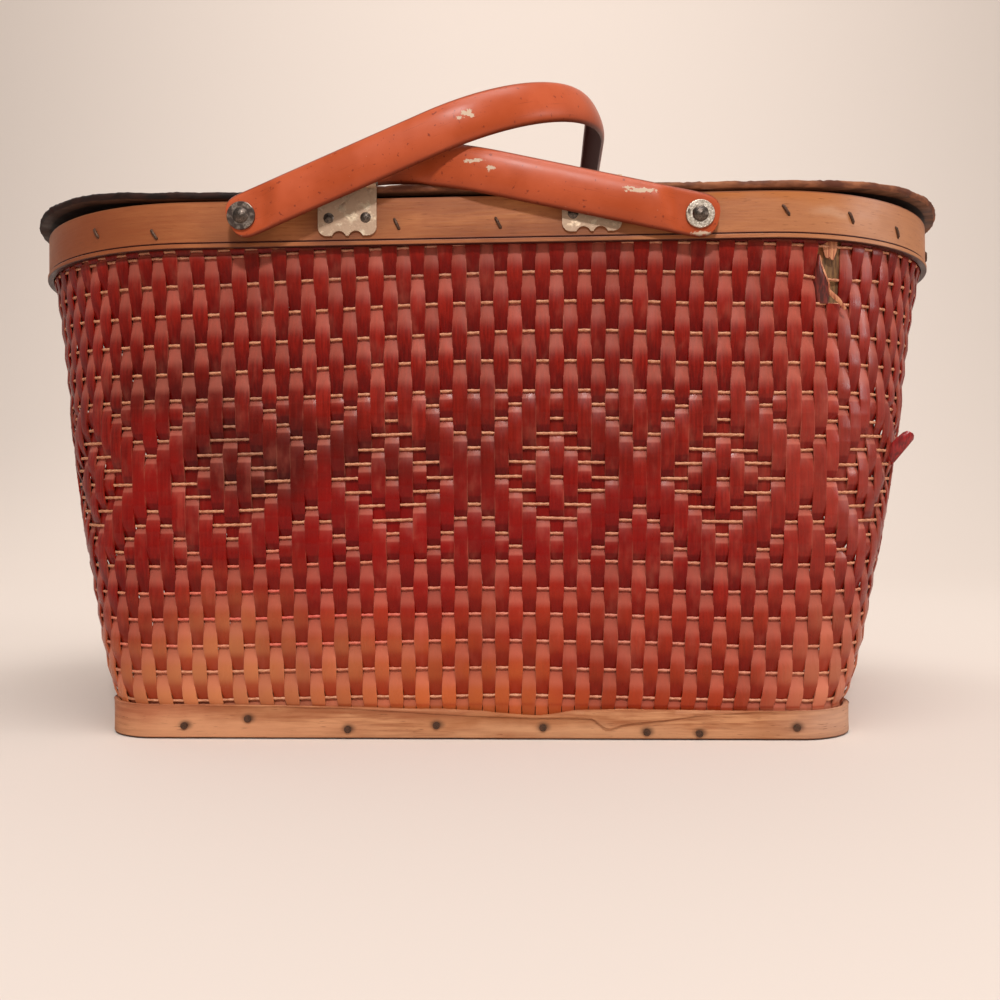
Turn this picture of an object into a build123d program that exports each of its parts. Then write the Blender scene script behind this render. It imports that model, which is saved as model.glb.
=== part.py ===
from build123d import *
import math
import os

# Picnic basket of woven splint with a bent rim, a hinged board lid and two swinging steel handles.
# Millimetres, +Z up. The origin is at the centre of the base, on the surface the basket stands on.
# -Y is the back, which carries the hinges, and +X is the right end seen from the back.

# Outside of the basket in plan
rim_half_length = 250.0
rim_half_depth = 130.3
rim_corner_radius = 111.5
base_half_length = 185.0
base_half_depth = 131.0
base_corner_radius = 30.0

# Heights
base_band_height = 15.0
rim_low = 238.2
rim_top = 261.0
lid_low = 262.5

# Woven wall: its outside at each height. It flares along its ends, and swells a little under the rim.
wall_heights = [15.5, 22.0, 45.0, 90.0, 150.0, 200.0, 218.0, 237.5]
wall_half_lengths = [182.4, 187.5, 196.0, 209.5, 225.5, 237.5, 242.2, 247.6]
wall_half_depths = [128.2, 128.1, 127.9, 127.5, 127.1, 126.8, 126.9, 127.9]
wall_radius_low = 27.0
wall_radius_high = 109.0
wall_thickness = 3.5
wall_top = 259.5

# Relief of the weave, drawn coarsely: the wall stands out at every weaver of the checks and draws in between
ridge_heights = [20.3, 33.6, 46.6, 59.6, 72.3, 85.4, 98.9, 112.5, 126.2, 140.0, 154.1, 167.6, 181.7, 196.0, 210.6,
                 224.9, 237.5]
ridge_inset = 0.3
valley_inset = 1.4

# Bottom board and bent bands
board_thickness = 6.0
board_low = 1.5
board_gap = 0.15
band_thickness = 2.8
rim_band_thickness = 2.2
bead_height = 2.4
bead_proud = 0.7
bead_groove = 0.5
bead_groove_height = 0.6
bead_rounding = 0.5
inner_band_low = 214.0
inner_band_thickness = 3.0
inner_band_gap = 0.15

# Lid
lid_half_length = 255.0
lid_back_edge = 129.6
lid_front_edge = 130.6
lid_corner_radius = 114.0
lid_thickness = 4.0
batten_place = 128.0
batten_width = 26.0
batten_length = 196.0
batten_thickness = 7.0
batten_nail_steps = (-78.0, 0.0, 78.0)

# Handles: a shallow channel of pressed sheet, bent to a wide U
left_pivot_x = -108.5
right_pivot_x = 109.5
left_pivot_z = 250.8
right_pivot_z = 248.8
left_handle_angle = 23.2
right_handle_angle = 13.6
handle_reach = 190.0
handle_bend_radius = 90.0
strip_width = 22.0
strip_depth = 4.2
strip_side = 1.8
strip_wall = 1.2
tab_radius = 11.5
tab_thickness = 1.5
tab_length = 9.0
tab_blend = 24.0
right_handle_standoff = 3.6
left_handle_standoff = 8.6

# Pivot rivets, washers and spacers
rivet_radius = 2.3
running_clearance = 0.075
washer_radius = 6.8
washer_thickness = 1.2
spacer_radius = 6.0
rivet_head_radius = 3.8
rivet_head_height = 2.1
burr_radius = 5.5
burr_thickness = 1.0
rivet_tail = 1.2

# Hinges
hinge_places = {"left": -59.4, "right": 58.8}
hinge_axis_y = -131.6
hinge_axis_z = 268.0
barrel_radius = 1.7
pin_radius = 0.8
leaf_width = 28.6
leaf_thickness = 1.0
rim_leaf_low = 243.0
rim_leaf_rivet_z = 251.6
rim_leaf_rivet_step = 9.0
lid_leaf_reach = 24.0
leaf_corner = 4.3
scallop_radius = 3.6
scallop_step = 4.1
scallop_drop = 1.2
middle_knuckle_half = leaf_width / 6
knuckle_gap = 0.15
lid_leaf_start = hinge_axis_y + 2.3
lid_leaf_rivet_y = lid_leaf_start + lid_leaf_reach * 0.6
small_head_radius = 2.6
small_head_height = 1.2
small_shank_radius = 1.3
small_tail_radius = 2.2
small_tail_height = 0.8

# Nails and staples
nail_head_radius = 1.7
nail_head_height = 0.7
nail_shank_radius = 0.8
nail_length = 9.0
back_nails = ((-140.3, 6.2), (-109.1, 9.6), (-60.4, 4.6), (-17.6, 6.6), (33.5, 5.7), (82.8, 3.6), (107.6, 3.0),
              (153.3, 6.0))
other_nail_count = 16
staple_crown = 4.6
staple_wire = 0.8
staple_leg = 1.8
staple_lean = 55.0
# Staples on the back and its corners: distance along the rim from the middle of the back, and height
back_staples = ((-190.8, 250.2), (-155.3, 245.9), (-35.4, 248.4), (13.7, 248.0), (151.1, 251.6), (185.8, 249.9),
                (219.3, 247.3))
other_staple_count = 14


def rounded_plan(half_length, half_depth, radius, height):
    """A rounded rectangle lying flat at a height, centred on the basket."""
    return Plane.XY.offset(height) * RectangleRounded(2 * half_length, 2 * half_depth, radius)


def slab(half_length, half_depth, radius, low, high):
    """A straight-sided block with a rounded plan."""
    return extrude(rounded_plan(half_length, half_depth, radius, low), amount=high - low)


def ring(half_length, half_depth, radius, thickness, low, high):
    """A straight-sided bent band, measured on its outside."""
    outer = slab(half_length, half_depth, radius, low, high)
    inner = slab(half_length - thickness, half_depth - thickness, radius - thickness, low - 1, high + 1)
    return outer - inner


def wall_size(height):
    """Outer half-length, half-depth and corner radius of the woven wall at a height."""
    height = min(max(height, wall_heights[0]), wall_heights[-1])
    index = 0
    while wall_heights[index + 1] < height:
        index += 1
    share = (height - wall_heights[index]) / (wall_heights[index + 1] - wall_heights[index])
    half_length = wall_half_lengths[index] * (1 - share) + wall_half_lengths[index + 1] * share
    half_depth = wall_half_depths[index] * (1 - share) + wall_half_depths[index + 1] * share
    climb = (height - wall_heights[0]) / (wall_heights[-1] - wall_heights[0])
    radius = wall_radius_low + climb * (wall_radius_high - wall_radius_low)
    return half_length, half_depth, radius


def flared_block(inset, low, high):
    """The block inside the woven wall's outer face, drawn in by an inset, between two heights."""
    heights = [low] + [h for h in wall_heights if low < h < high] + [high]
    sections = []
    for height in heights:
        half_length, half_depth, radius = wall_size(height)
        sections.append(rounded_plan(half_length - inset, half_depth - inset, radius - inset, height))
    return loft(sections, ruled=True)


def ridged_flare():
    """The outside of the flared wall, with a soft ridge at each height in the list and a valley between."""
    marks = [(wall_heights[0], valley_inset)]
    for index, height in enumerate(ridge_heights):
        marks.append((height, ridge_inset))
        if index + 1 < len(ridge_heights):
            marks.append(((height + ridge_heights[index + 1]) / 2, valley_inset))
    sections = []
    for height, inset in marks:
        half_length, half_depth, radius = wall_size(height)
        sections.append(rounded_plan(half_length - inset, half_depth - inset, radius - inset, height))
    return loft(sections, ruled=True)


def round_bar(start, direction, radius, length):
    """A round bar from a point along a direction."""
    plane = Plane(origin=start, z_dir=direction)
    return extrude(plane * Circle(radius), amount=length)


def dome(start, direction, radius, height):
    """A domed rivet head: the cap of a ball, flat side at the start point."""
    ball = (radius * radius + height * height) / (2 * height)
    plane = Plane(origin=start, z_dir=direction)
    cap = plane * (Pos(0, 0, height - ball) * Sphere(ball))
    keep = plane * (Pos(0, 0, height / 2) * Cylinder(radius + 1, height))
    return cap & keep


def plan_length(half_length, half_depth, radius):
    """The length of a rounded rectangle's outline."""
    return 4 * (half_length - radius) + 4 * (half_depth - radius) + 2 * math.pi * radius


def plan_point(half_length, half_depth, radius, share):
    """Point and outward normal at a share of the way round a rounded rectangle, from the back centre."""
    straight_long = 2 * (half_length - radius)
    straight_short = 2 * (half_depth - radius)
    quarter = math.pi / 2 * radius
    total = plan_length(half_length, half_depth, radius)
    along = (share % 1.0) * total + straight_long / 2
    runs = [
        (straight_long, (-(half_length - radius), -half_depth), 0),
        (quarter, (half_length - radius, -(half_depth - radius)), -90),
        (straight_short, (half_length, -(half_depth - radius)), 90),
        (quarter, (half_length - radius, half_depth - radius), 0),
        (straight_long, (half_length - radius, half_depth), 180),
        (quarter, (-(half_length - radius), half_depth - radius), 90),
        (straight_short, (-half_length, half_depth - radius), 270),
        (quarter, (-(half_length - radius), -(half_depth - radius)), 180),
    ]
    along %= total
    for index, (length, start, heading) in enumerate(runs):
        if along <= length:
            if index % 2 == 0:
                angle = math.radians(heading)
                x = start[0] + along * math.cos(angle)
                y = start[1] + along * math.sin(angle)
                return (x, y), (math.sin(angle), -math.cos(angle))
            angle = math.radians(heading) + along / radius
            normal = (math.cos(angle), math.sin(angle))
            return (start[0] + radius * normal[0], start[1] + radius * normal[1]), normal
        along -= length
    return (0.0, -half_depth), (0.0, -1.0)


def make_base_board():
    half_length, half_depth, radius = wall_size(0)
    inset = wall_thickness + board_gap
    return slab(half_length - inset, half_depth - inset, radius - inset, board_low, board_low + board_thickness)


def make_base_band():
    return ring(base_half_length, base_half_depth, base_corner_radius, band_thickness - board_gap, 0,
                base_band_height)


def make_woven_body():
    foot_length, foot_depth, foot_radius = wall_size(0)
    neck_length, neck_depth, neck_radius = wall_size(wall_heights[-1])
    foot = slab(foot_length - board_gap, foot_depth - board_gap, foot_radius, 0.6, wall_heights[0])
    flare = ridged_flare()
    neck = slab(neck_length, neck_depth, neck_radius, wall_heights[-1], wall_top)
    foot_hole = slab(foot_length - wall_thickness, foot_depth - wall_thickness, foot_radius - wall_thickness,
                     -1, wall_heights[0])
    flare_hole = flared_block(wall_thickness, wall_heights[0], wall_heights[-1])
    neck_hole = slab(neck_length - wall_thickness, neck_depth - wall_thickness, neck_radius - wall_thickness,
                     wall_heights[-1], wall_top + 1)
    shell = (foot + flare + neck) - (foot_hole + flare_hole + neck_hole)
    for place in pivot_places():
        shell -= pivot_hole(place)
    return shell


def make_rim_outer_band():
    band = ring(rim_half_length, rim_half_depth, rim_corner_radius, rim_band_thickness, rim_low, rim_top)
    bead = ring(rim_half_length + bead_proud, rim_half_depth + bead_proud, rim_corner_radius + bead_proud,
                bead_proud + 1, rim_low, rim_low + bead_height)
    bead = fillet(bead.edges().filter_by(lambda e: e.bounding_box().size.Z < 0.01)
                  .filter_by(lambda e: touches_outside(e)), bead_rounding)
    groove = ring(rim_half_length + 1, rim_half_depth + 1, rim_corner_radius + 1, 1 + bead_groove,
                  rim_low + bead_height, rim_low + bead_height + bead_groove_height)
    band = (band + bead) - groove
    for place in pivot_places():
        band -= pivot_hole(place)
    return band


def touches_outside(edge):
    """True for an edge that lies on the outer face of the bead."""
    middle = edge.position_at(0.5)
    box_x = rim_half_length + bead_proud - 0.3
    box_y = rim_half_depth + bead_proud - 0.3
    if abs(middle.X) > box_x or abs(middle.Y) > box_y:
        return True
    corner_x = rim_half_length - rim_corner_radius
    corner_y = rim_half_depth - rim_corner_radius
    if abs(middle.X) < corner_x or abs(middle.Y) < corner_y:
        return False
    reach = math.hypot(abs(middle.X) - corner_x, abs(middle.Y) - corner_y)
    return reach > rim_corner_radius + bead_proud - 0.3


def make_rim_inner_band():
    inset = wall_thickness + inner_band_gap
    neck_length, neck_depth, neck_radius = wall_size(wall_heights[-1])
    lower = flared_block(inset, inner_band_low, wall_heights[-1])
    upper = slab(neck_length - inset, neck_depth - inset, neck_radius - inset, wall_heights[-1], rim_top)
    inset += inner_band_thickness
    lower_hole = flared_block(inset, inner_band_low, wall_heights[-1])
    upper_hole = slab(neck_length - inset, neck_depth - inset, neck_radius - inset, wall_heights[-1],
                      rim_top + 1)
    band = (lower + upper) - (lower_hole + upper_hole)
    for place in pivot_places():
        band -= pivot_hole(place)
    return band


def pivot_places():
    """Every handle pivot: x, z and the side of the basket, -1 at the back and 1 at the front."""
    places = []
    for side in (-1, 1):
        places.append((left_pivot_x, left_pivot_z, side))
        places.append((right_pivot_x, right_pivot_z, side))
    return places


def pivot_hole(place):
    x, z, side = place
    return round_bar((x, side * 90, z), (0, side, 0), rivet_radius, 60)


def pivot_standoff(x):
    return left_handle_standoff if x < 0 else right_handle_standoff


def inner_face():
    """How far the inner band's inside face is from the middle of the basket at the pivots."""
    return wall_half_depths[-1] - wall_thickness - inner_band_gap - inner_band_thickness


def make_pivot_rivet(place):
    x, z, side = place
    inside = inner_face() - burr_thickness
    seat = rim_half_depth + pivot_standoff(x) + tab_thickness + washer_thickness + 0.2
    shank = round_bar((x, side * inside, z), (0, side, 0), rivet_radius, seat - inside)
    head = dome((x, side * seat, z), (0, side, 0), rivet_head_radius, rivet_head_height)
    tail = dome((x, side * inside, z), (0, -side, 0), rivet_radius + 0.9, rivet_tail)
    return shank + head + tail


def make_pivot_washer(place):
    x, z, side = place
    seat = rim_half_depth + pivot_standoff(x) + tab_thickness + 0.1
    disc = round_bar((x, side * seat, z), (0, side, 0), washer_radius, washer_thickness)
    rim_edges = disc.edges().filter_by(GeomType.CIRCLE).sort_by(Axis.Y)
    disc = fillet(rim_edges[-1] if side > 0 else rim_edges[0], 0.4)
    return disc - round_bar((x, side * (seat - 1), z), (0, side, 0), rivet_radius + running_clearance, 5)


def make_pivot_spacer(place):
    x, z, side = place
    tube = round_bar((x, side * rim_half_depth, z), (0, side, 0), spacer_radius, pivot_standoff(x) - 0.1)
    return tube - round_bar((x, side * (rim_half_depth - 1), z), (0, side, 0), rivet_radius, 20)


def make_pivot_burr(place):
    x, z, side = place
    disc = round_bar((x, side * inner_face(), z), (0, -side, 0), burr_radius, burr_thickness)
    return disc - round_bar((x, side * 90, z), (0, side, 0), rivet_radius, 60)


def crowned_section(plane, width, side_height, crest_height):
    """A strip's section: straight sides and an arched top. The plane's x runs across the strip."""
    half = width / 2
    outline = (
        Line((-half, 0), (half, 0))
        + Line((half, 0), (half, side_height))
        + ThreePointArc((half, side_height), (0, crest_height), (-half, side_height))
        + Line((-half, side_height), (-half, 0))
    )
    return plane * make_face(outline)


def across_arm(reach):
    """The plane across the back arm at a reach, x up the strip's width and y out of the basket."""
    return Plane(origin=(reach, 0, 0), x_dir=(0, 0, 1), z_dir=(1, 0, 0))


def make_handle(standoff):
    """A handle lying along +X from its pivots at x = 0, with its outer faces away from the basket."""
    inner = rim_half_depth + standoff
    inner_radius = handle_bend_radius - strip_depth / 2
    bend_start = handle_reach - strip_depth / 2 - inner_radius
    grip_half = inner - inner_radius
    thin_side = strip_side - strip_wall / 2
    arm = extrude(crowned_section(across_arm(tab_blend), strip_width, strip_side, strip_depth),
                  amount=bend_start - tab_blend)
    hollow_width = strip_width - 2 * strip_wall
    hollow_arm = extrude(crowned_section(across_arm(tab_blend), hollow_width, thin_side,
                                         strip_depth - strip_wall), amount=bend_start - tab_blend)
    blend = loft([crowned_section(across_arm(tab_length), strip_width, strip_wall, tab_thickness),
                  crowned_section(across_arm(tab_blend), strip_width, strip_side, strip_depth)])
    tab = extrude(Plane(origin=(0, 0, 0), x_dir=(1, 0, 0), z_dir=(0, -1, 0)) * Circle(tab_radius),
                  amount=tab_thickness)
    tab += Pos(tab_length / 2 + 0.25, -tab_thickness / 2, 0) * Box(tab_length + 0.5, tab_thickness, strip_width - 1)
    bend_axis = Axis((bend_start, inner_radius, 0), (0, 0, 1))
    bend = revolve(crowned_section(across_arm(bend_start), strip_width, strip_side, strip_depth),
                   axis=bend_axis, revolution_arc=90)
    hollow_bend = revolve(crowned_section(across_arm(bend_start), hollow_width, thin_side,
                                          strip_depth - strip_wall), axis=bend_axis, revolution_arc=90)
    grip_plane = Plane(origin=(bend_start + inner_radius, inner_radius, 0), x_dir=(0, 0, 1), z_dir=(0, 1, 0))
    grip = extrude(crowned_section(grip_plane, strip_width, strip_side, strip_depth), amount=grip_half)
    hollow_grip = extrude(crowned_section(grip_plane, hollow_width, thin_side, strip_depth - strip_wall),
                          amount=grip_half)
    half = (arm + blend + tab + bend + grip) - hollow_arm - hollow_bend - hollow_grip
    half -= round_bar((0, 20, 0), (0, -1, 0), rivet_radius + running_clearance, 60)
    half = Pos(0, -inner, 0) * half
    return half + mirror(half, about=Plane.XZ)


def place_left_handle(shape):
    return Pos(left_pivot_x, 0, left_pivot_z) * Rot(0, -left_handle_angle, 0) * shape


def place_right_handle(shape):
    return Pos(right_pivot_x, 0, right_pivot_z) * Rot(0, right_handle_angle, 0) * mirror(shape, about=Plane.YZ)


def make_lid_board():
    half_depth = (lid_back_edge + lid_front_edge) / 2
    middle = (lid_front_edge - lid_back_edge) / 2
    return Pos(0, middle, 0) * slab(lid_half_length, half_depth, lid_corner_radius, lid_low,
                                    lid_low + lid_thickness)


def make_batten(side):
    block = Box(batten_width, batten_length, batten_thickness)
    block = chamfer(block.edges().group_by(Axis.Z)[0], 1.5)
    return Pos(side * batten_place, 0, lid_low - batten_thickness / 2) * block


def make_batten_nails():
    nails = []
    top = lid_low + lid_thickness
    for side in (-1, 1):
        for step in batten_nail_steps:
            head = round_bar((side * batten_place, step, top), (0, 0, 1), nail_head_radius, nail_head_height)
            shank = round_bar((side * batten_place, step, top), (0, 0, -1), nail_shank_radius, nail_length)
            nails.append(head + shank)
    return Compound(nails)


def barrel(x, low, high, hole_radius):
    """One knuckle of a hinge between two places along the pin."""
    tube = round_bar((x + low, hinge_axis_y, hinge_axis_z), (1, 0, 0), barrel_radius, high - low)
    return tube - round_bar((x + low - 1, hinge_axis_y, hinge_axis_z), (1, 0, 0), hole_radius, high - low + 2)


def make_rim_leaf(x):
    """The scalloped leaf on the rim, with the two outer knuckles."""
    face = -rim_half_depth
    plate = Pos(x, face - leaf_thickness / 2, (rim_leaf_low + hinge_axis_z) / 2) * Box(
        leaf_width, leaf_thickness, hinge_axis_z - rim_leaf_low)
    upright_edges = plate.edges().filter_by(Axis.Y)
    plate = fillet(upright_edges.sort_by(Axis.Z)[:2], leaf_corner)
    for side in (-1, 1):
        plate -= round_bar((x + side * scallop_step, face + 1, rim_leaf_low - scallop_drop), (0, -1, 0),
                           scallop_radius, 3 * leaf_thickness)
    middle_gap = Pos(x, face - leaf_thickness / 2, hinge_axis_z) * Box(
        2 * (middle_knuckle_half + knuckle_gap), 3 * leaf_thickness, 2 * (barrel_radius + 0.4))
    plate -= middle_gap
    knuckle_space = round_bar((x - leaf_width, hinge_axis_y, hinge_axis_z), (1, 0, 0), barrel_radius,
                              2 * leaf_width)
    plate -= knuckle_space
    plate += barrel(x, -leaf_width / 2, -middle_knuckle_half - knuckle_gap, pin_radius)
    plate += barrel(x, middle_knuckle_half + knuckle_gap, leaf_width / 2, pin_radius)
    for step in (-rim_leaf_rivet_step, rim_leaf_rivet_step):
        plate -= round_bar((x + step, face + 1, rim_leaf_rivet_z), (0, -1, 0), small_shank_radius, 4)
    return plate


def make_lid_leaf(x):
    """The leaf on top of the lid, with the middle knuckle."""
    top = lid_low + lid_thickness
    plate = Pos(x, lid_leaf_start + lid_leaf_reach / 2, top + leaf_thickness / 2) * Box(
        leaf_width, lid_leaf_reach, leaf_thickness)
    tongue = Pos(x, hinge_axis_y + 1.5, top + leaf_thickness / 2) * Box(
        2 * middle_knuckle_half, 3.0, leaf_thickness)
    tongue -= round_bar((x - leaf_width, hinge_axis_y, hinge_axis_z), (1, 0, 0), barrel_radius, 2 * leaf_width)
    plate += tongue
    plate += barrel(x, -middle_knuckle_half, middle_knuckle_half, pin_radius + running_clearance)
    for step in (-rim_leaf_rivet_step, rim_leaf_rivet_step):
        plate -= round_bar((x + step, lid_leaf_rivet_y, top - 1), (0, 0, 1), small_shank_radius, 4)
    return plate


def make_hinge_pin(x):
    pin = round_bar((x - leaf_width / 2 - 0.8, hinge_axis_y, hinge_axis_z), (1, 0, 0), pin_radius,
                    leaf_width + 1.6)
    for side in (-1, 1):
        pin += dome((x + side * leaf_width / 2, hinge_axis_y, hinge_axis_z), (side, 0, 0), 1.2, 0.8)
    return pin


def make_rim_rivets(x):
    """Two rivets through the rim leaf, the bands and the wall."""
    rivets = []
    face = rim_half_depth + leaf_thickness
    inside = inner_face()
    for step in (-rim_leaf_rivet_step, rim_leaf_rivet_step):
        place = (x + step, -face, rim_leaf_rivet_z)
        head = dome(place, (0, -1, 0), small_head_radius, small_head_height)
        shank = round_bar(place, (0, 1, 0), small_shank_radius, face - inside)
        tail = dome((x + step, -inside, rim_leaf_rivet_z), (0, 1, 0), small_tail_radius, small_tail_height)
        rivets.append(head + shank + tail)
    return Compound(rivets)


def make_lid_rivets(x):
    """Two rivets through the lid leaf and the lid."""
    rivets = []
    top = lid_low + lid_thickness + leaf_thickness
    for step in (-rim_leaf_rivet_step, rim_leaf_rivet_step):
        place = (x + step, lid_leaf_rivet_y, top)
        head = dome(place, (0, 0, 1), small_head_radius, small_head_height)
        shank = round_bar(place, (0, 0, -1), small_shank_radius, top - lid_low)
        tail = dome((x + step, lid_leaf_rivet_y, lid_low), (0, 0, -1), small_tail_radius, small_tail_height)
        rivets.append(head + shank + tail)
    return Compound(rivets)


def make_base_nails():
    """Nails through the base band into the edge of the bottom board."""
    nails = []
    size = (base_half_length, base_half_depth, base_corner_radius)
    places = [((x, -base_half_depth), (0.0, -1.0), z) for x, z in back_nails]
    for number in range(other_nail_count):
        share = 0.19 + 0.62 * number / (other_nail_count - 1)
        point, normal = plan_point(*size, share)
        places.append((point, normal, 4.0 + 3.0 * (number % 2)))
    for point, normal, z in places:
        out = (normal[0], normal[1], 0)
        back = (-normal[0], -normal[1], 0)
        start = (point[0], point[1], z)
        nails.append(round_bar(start, out, nail_head_radius, nail_head_height)
                     + round_bar(start, back, nail_shank_radius, nail_length))
    return Compound(nails)


def make_rim_staples():
    """Slanting wire staples that hold the two rim bands together."""
    staples = []
    size = (rim_half_length, rim_half_depth, rim_corner_radius)
    places = []
    for distance, z in back_staples:
        point, normal = plan_point(*size, distance / plan_length(*size))
        places.append((point, normal, z))
    for number in range(other_staple_count):
        share = 0.21 + 0.58 * number / (other_staple_count - 1)
        point, normal = plan_point(*size, share)
        places.append((point, normal, 247.0 + 2.5 * (number % 3)))
    for point, normal, z in places:
        outward = Vector(normal[0], normal[1], 0)
        lean = math.radians(staple_lean)
        line = Vector(-normal[1], normal[0], 0) * math.cos(lean) - Vector(0, 0, 1) * math.sin(lean)
        start = Vector(point[0], point[1], z) - outward * staple_leg
        plane = Plane(origin=start, x_dir=line, z_dir=line.cross(outward))
        height = staple_leg + staple_wire
        outline = Pos(0, height / 2) * Rectangle(staple_crown, height)
        outline -= Pos(0, staple_leg / 2) * Rectangle(staple_crown - 2 * staple_wire, staple_leg)
        staples.append(extrude(plane * outline, amount=staple_wire, both=True))
    return Compound(staples)


shapes = {
    "base_board": make_base_board(),
    "base_band": make_base_band(),
    "base_nails": make_base_nails(),
    "woven_body": make_woven_body(),
    "rim_outer_band": make_rim_outer_band(),
    "rim_inner_band": make_rim_inner_band(),
    "rim_staples": make_rim_staples(),
    "lid_board": make_lid_board(),
    "lid_batten_left": make_batten(-1),
    "lid_batten_right": make_batten(1),
    "lid_batten_nails": make_batten_nails(),
    "handle_left": place_left_handle(make_handle(left_handle_standoff)),
    "handle_right": place_right_handle(make_handle(right_handle_standoff)),
}
for pivot in pivot_places():
    end = "left" if pivot[0] < 0 else "right"
    side_name = "back" if pivot[2] < 0 else "front"
    shapes[f"pivot_rivet_{end}_{side_name}"] = make_pivot_rivet(pivot)
    shapes[f"pivot_washer_{end}_{side_name}"] = make_pivot_washer(pivot)
    shapes[f"pivot_spacer_{end}_{side_name}"] = make_pivot_spacer(pivot)
    shapes[f"pivot_burr_{end}_{side_name}"] = make_pivot_burr(pivot)
for end, place in hinge_places.items():
    shapes[f"hinge_{end}_rim_leaf"] = make_rim_leaf(place)
    shapes[f"hinge_{end}_lid_leaf"] = make_lid_leaf(place)
    shapes[f"hinge_{end}_pin"] = make_hinge_pin(place)
    shapes[f"hinge_{end}_rim_rivets"] = make_rim_rivets(place)
    shapes[f"hinge_{end}_lid_rivets"] = make_lid_rivets(place)

os.makedirs("parts", exist_ok=True)
for name, shape in shapes.items():
    export_step(shape, f"parts/{name}.step")
print(len(shapes), "parts; rim", rim_half_length * 2, "x", rim_half_depth * 2, "mm, top at", rim_top)
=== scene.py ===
# %% [markdown]
# # A picnic basket of woven splint
# The wall of the basket is 192 upright dyed splints, the stakes, held by 24 thin twisted weavers. A bent
# wooden rim and skirt close it, a thin warped board is its lid, and two pressed steel handles cross over it.
# The photograph shows the side with the hinges, which the frame calls the back. This lesson dresses the fixed
# frame, which holds every part at its real size, with real forms and finishes. Loading the frame comes first,
# because every piece is placed from it.

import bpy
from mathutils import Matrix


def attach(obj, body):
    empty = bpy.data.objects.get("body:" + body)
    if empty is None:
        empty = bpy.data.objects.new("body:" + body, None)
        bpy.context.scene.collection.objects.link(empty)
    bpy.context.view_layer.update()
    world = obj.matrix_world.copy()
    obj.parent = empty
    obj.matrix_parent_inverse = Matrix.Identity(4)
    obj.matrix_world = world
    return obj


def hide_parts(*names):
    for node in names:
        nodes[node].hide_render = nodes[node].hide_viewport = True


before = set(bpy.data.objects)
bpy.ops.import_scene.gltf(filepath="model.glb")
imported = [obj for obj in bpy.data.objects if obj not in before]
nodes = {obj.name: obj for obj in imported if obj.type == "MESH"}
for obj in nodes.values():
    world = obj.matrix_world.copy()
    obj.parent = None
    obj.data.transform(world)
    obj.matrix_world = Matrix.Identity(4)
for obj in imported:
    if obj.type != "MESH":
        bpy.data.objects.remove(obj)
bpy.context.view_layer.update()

# %% Modules and units
import random
from math import cos, exp, inf, pi, radians, sin, sqrt

import bmesh
import bpy
from mathutils import Matrix, Vector, noise

MM = 0.001
scene = bpy.context.scene
rng = random.Random(7)

# %% [markdown]
# ## The camera
# The photograph was taken by hand from about half a metre, a little to the right of the middle and low, with
# a wide phone lens. A camera could be aimed at a target with a constraint, but the measured place and the
# three small turns of the hand are clearer as numbers: yaw, pitch and roll.

# %% Camera
CAMERA_PLACE = Vector((34.8, -609.9, 108.7)) * MM
CAMERA_YAW = radians(2.52)
CAMERA_PITCH = radians(0.69)
CAMERA_ROLL = radians(-0.40)
SENSOR, LENS, NEAREST = 36.0, 36.0, 0.05

camera = bpy.data.objects.new("camera", bpy.data.cameras.new("camera"))
scene.collection.objects.link(camera)
camera.data.sensor_width = SENSOR
camera.data.lens = LENS
camera.data.clip_start = NEAREST
turned = Matrix.Rotation(CAMERA_YAW, 4, "Z") @ Matrix.Rotation(pi / 2 + CAMERA_PITCH, 4, "X")
camera.matrix_world = Matrix.Translation(CAMERA_PLACE) @ turned @ Matrix.Rotation(CAMERA_ROLL, 4, "Z")
scene.camera = camera
print("camera at", [round(v, 3) for v in CAMERA_PLACE], "lens", LENS)

# %% [markdown]
# ## Helpers for colours and nodes
# Colours are written as sRGB hex values, the way a colour picker shows them, and one function turns them to
# the linear values that Blender's sockets hold. Another adds a node, sets it and links it in one call. Old
# finishes are coats over coats, so a third lays a colour over another where a mask says.

# %% Colour and node helpers
# the places of a colour mix among the Mix node's sockets
MIX_FACTOR, MIX_A, MIX_B, MIX_OUT = 0, 6, 7, 2


def hex_colour(text):
    """The linear colour of an sRGB hex value."""
    parts = [int(text[i:i + 2], 16) / 255 for i in (1, 3, 5)]
    linear = [c / 12.92 if c <= 0.04045 else ((c + 0.055) / 1.055) ** 2.4 for c in parts]
    return (*linear, 1.0)


def add_node(tree, kind, inputs=None, out=0, **settings):
    """Adds a node and gives one of its outputs. An input is a number, a hex colour or another output."""
    node = tree.nodes.new("ShaderNode" + kind)
    for name, value in settings.items():
        setattr(node, name, value)
    for socket, value in (inputs or {}).items():
        if isinstance(value, bpy.types.NodeSocket):
            tree.links.new(value, node.inputs[socket])
        else:
            node.inputs[socket].default_value = hex_colour(value) if isinstance(value, str) else value
    return node.outputs[out]


def new_material(name, **values):
    """A material and its node tree, with uniform values on the shader's own sockets."""
    material = bpy.data.materials.new(name)
    material.use_nodes = True
    for socket, value in values.items():
        material.node_tree.nodes["Principled BSDF"].inputs[socket.replace("_", " ")].default_value = value
    return material, material.node_tree


def stretched_noise(tree, place, scale, detail=5.0, roughness=0.55):
    """Noise whose grains are 1/scale metres long on each axis."""
    mapped = add_node(tree, "Mapping", {"Vector": place, "Scale": scale})
    return add_node(tree, "TexNoise", {"Vector": mapped, "Scale": 1.0, "Detail": detail, "Roughness": roughness})


def between(tree, value, low, high, to_low=0.0, to_high=1.0):
    """A value eased from low to high, and cut off outside them."""
    ends = {"From Min": low, "From Max": high, "To Min": to_low, "To Max": to_high}
    return add_node(tree, "MapRange", {"Value": value, **ends}, interpolation_type="SMOOTHSTEP")


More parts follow.
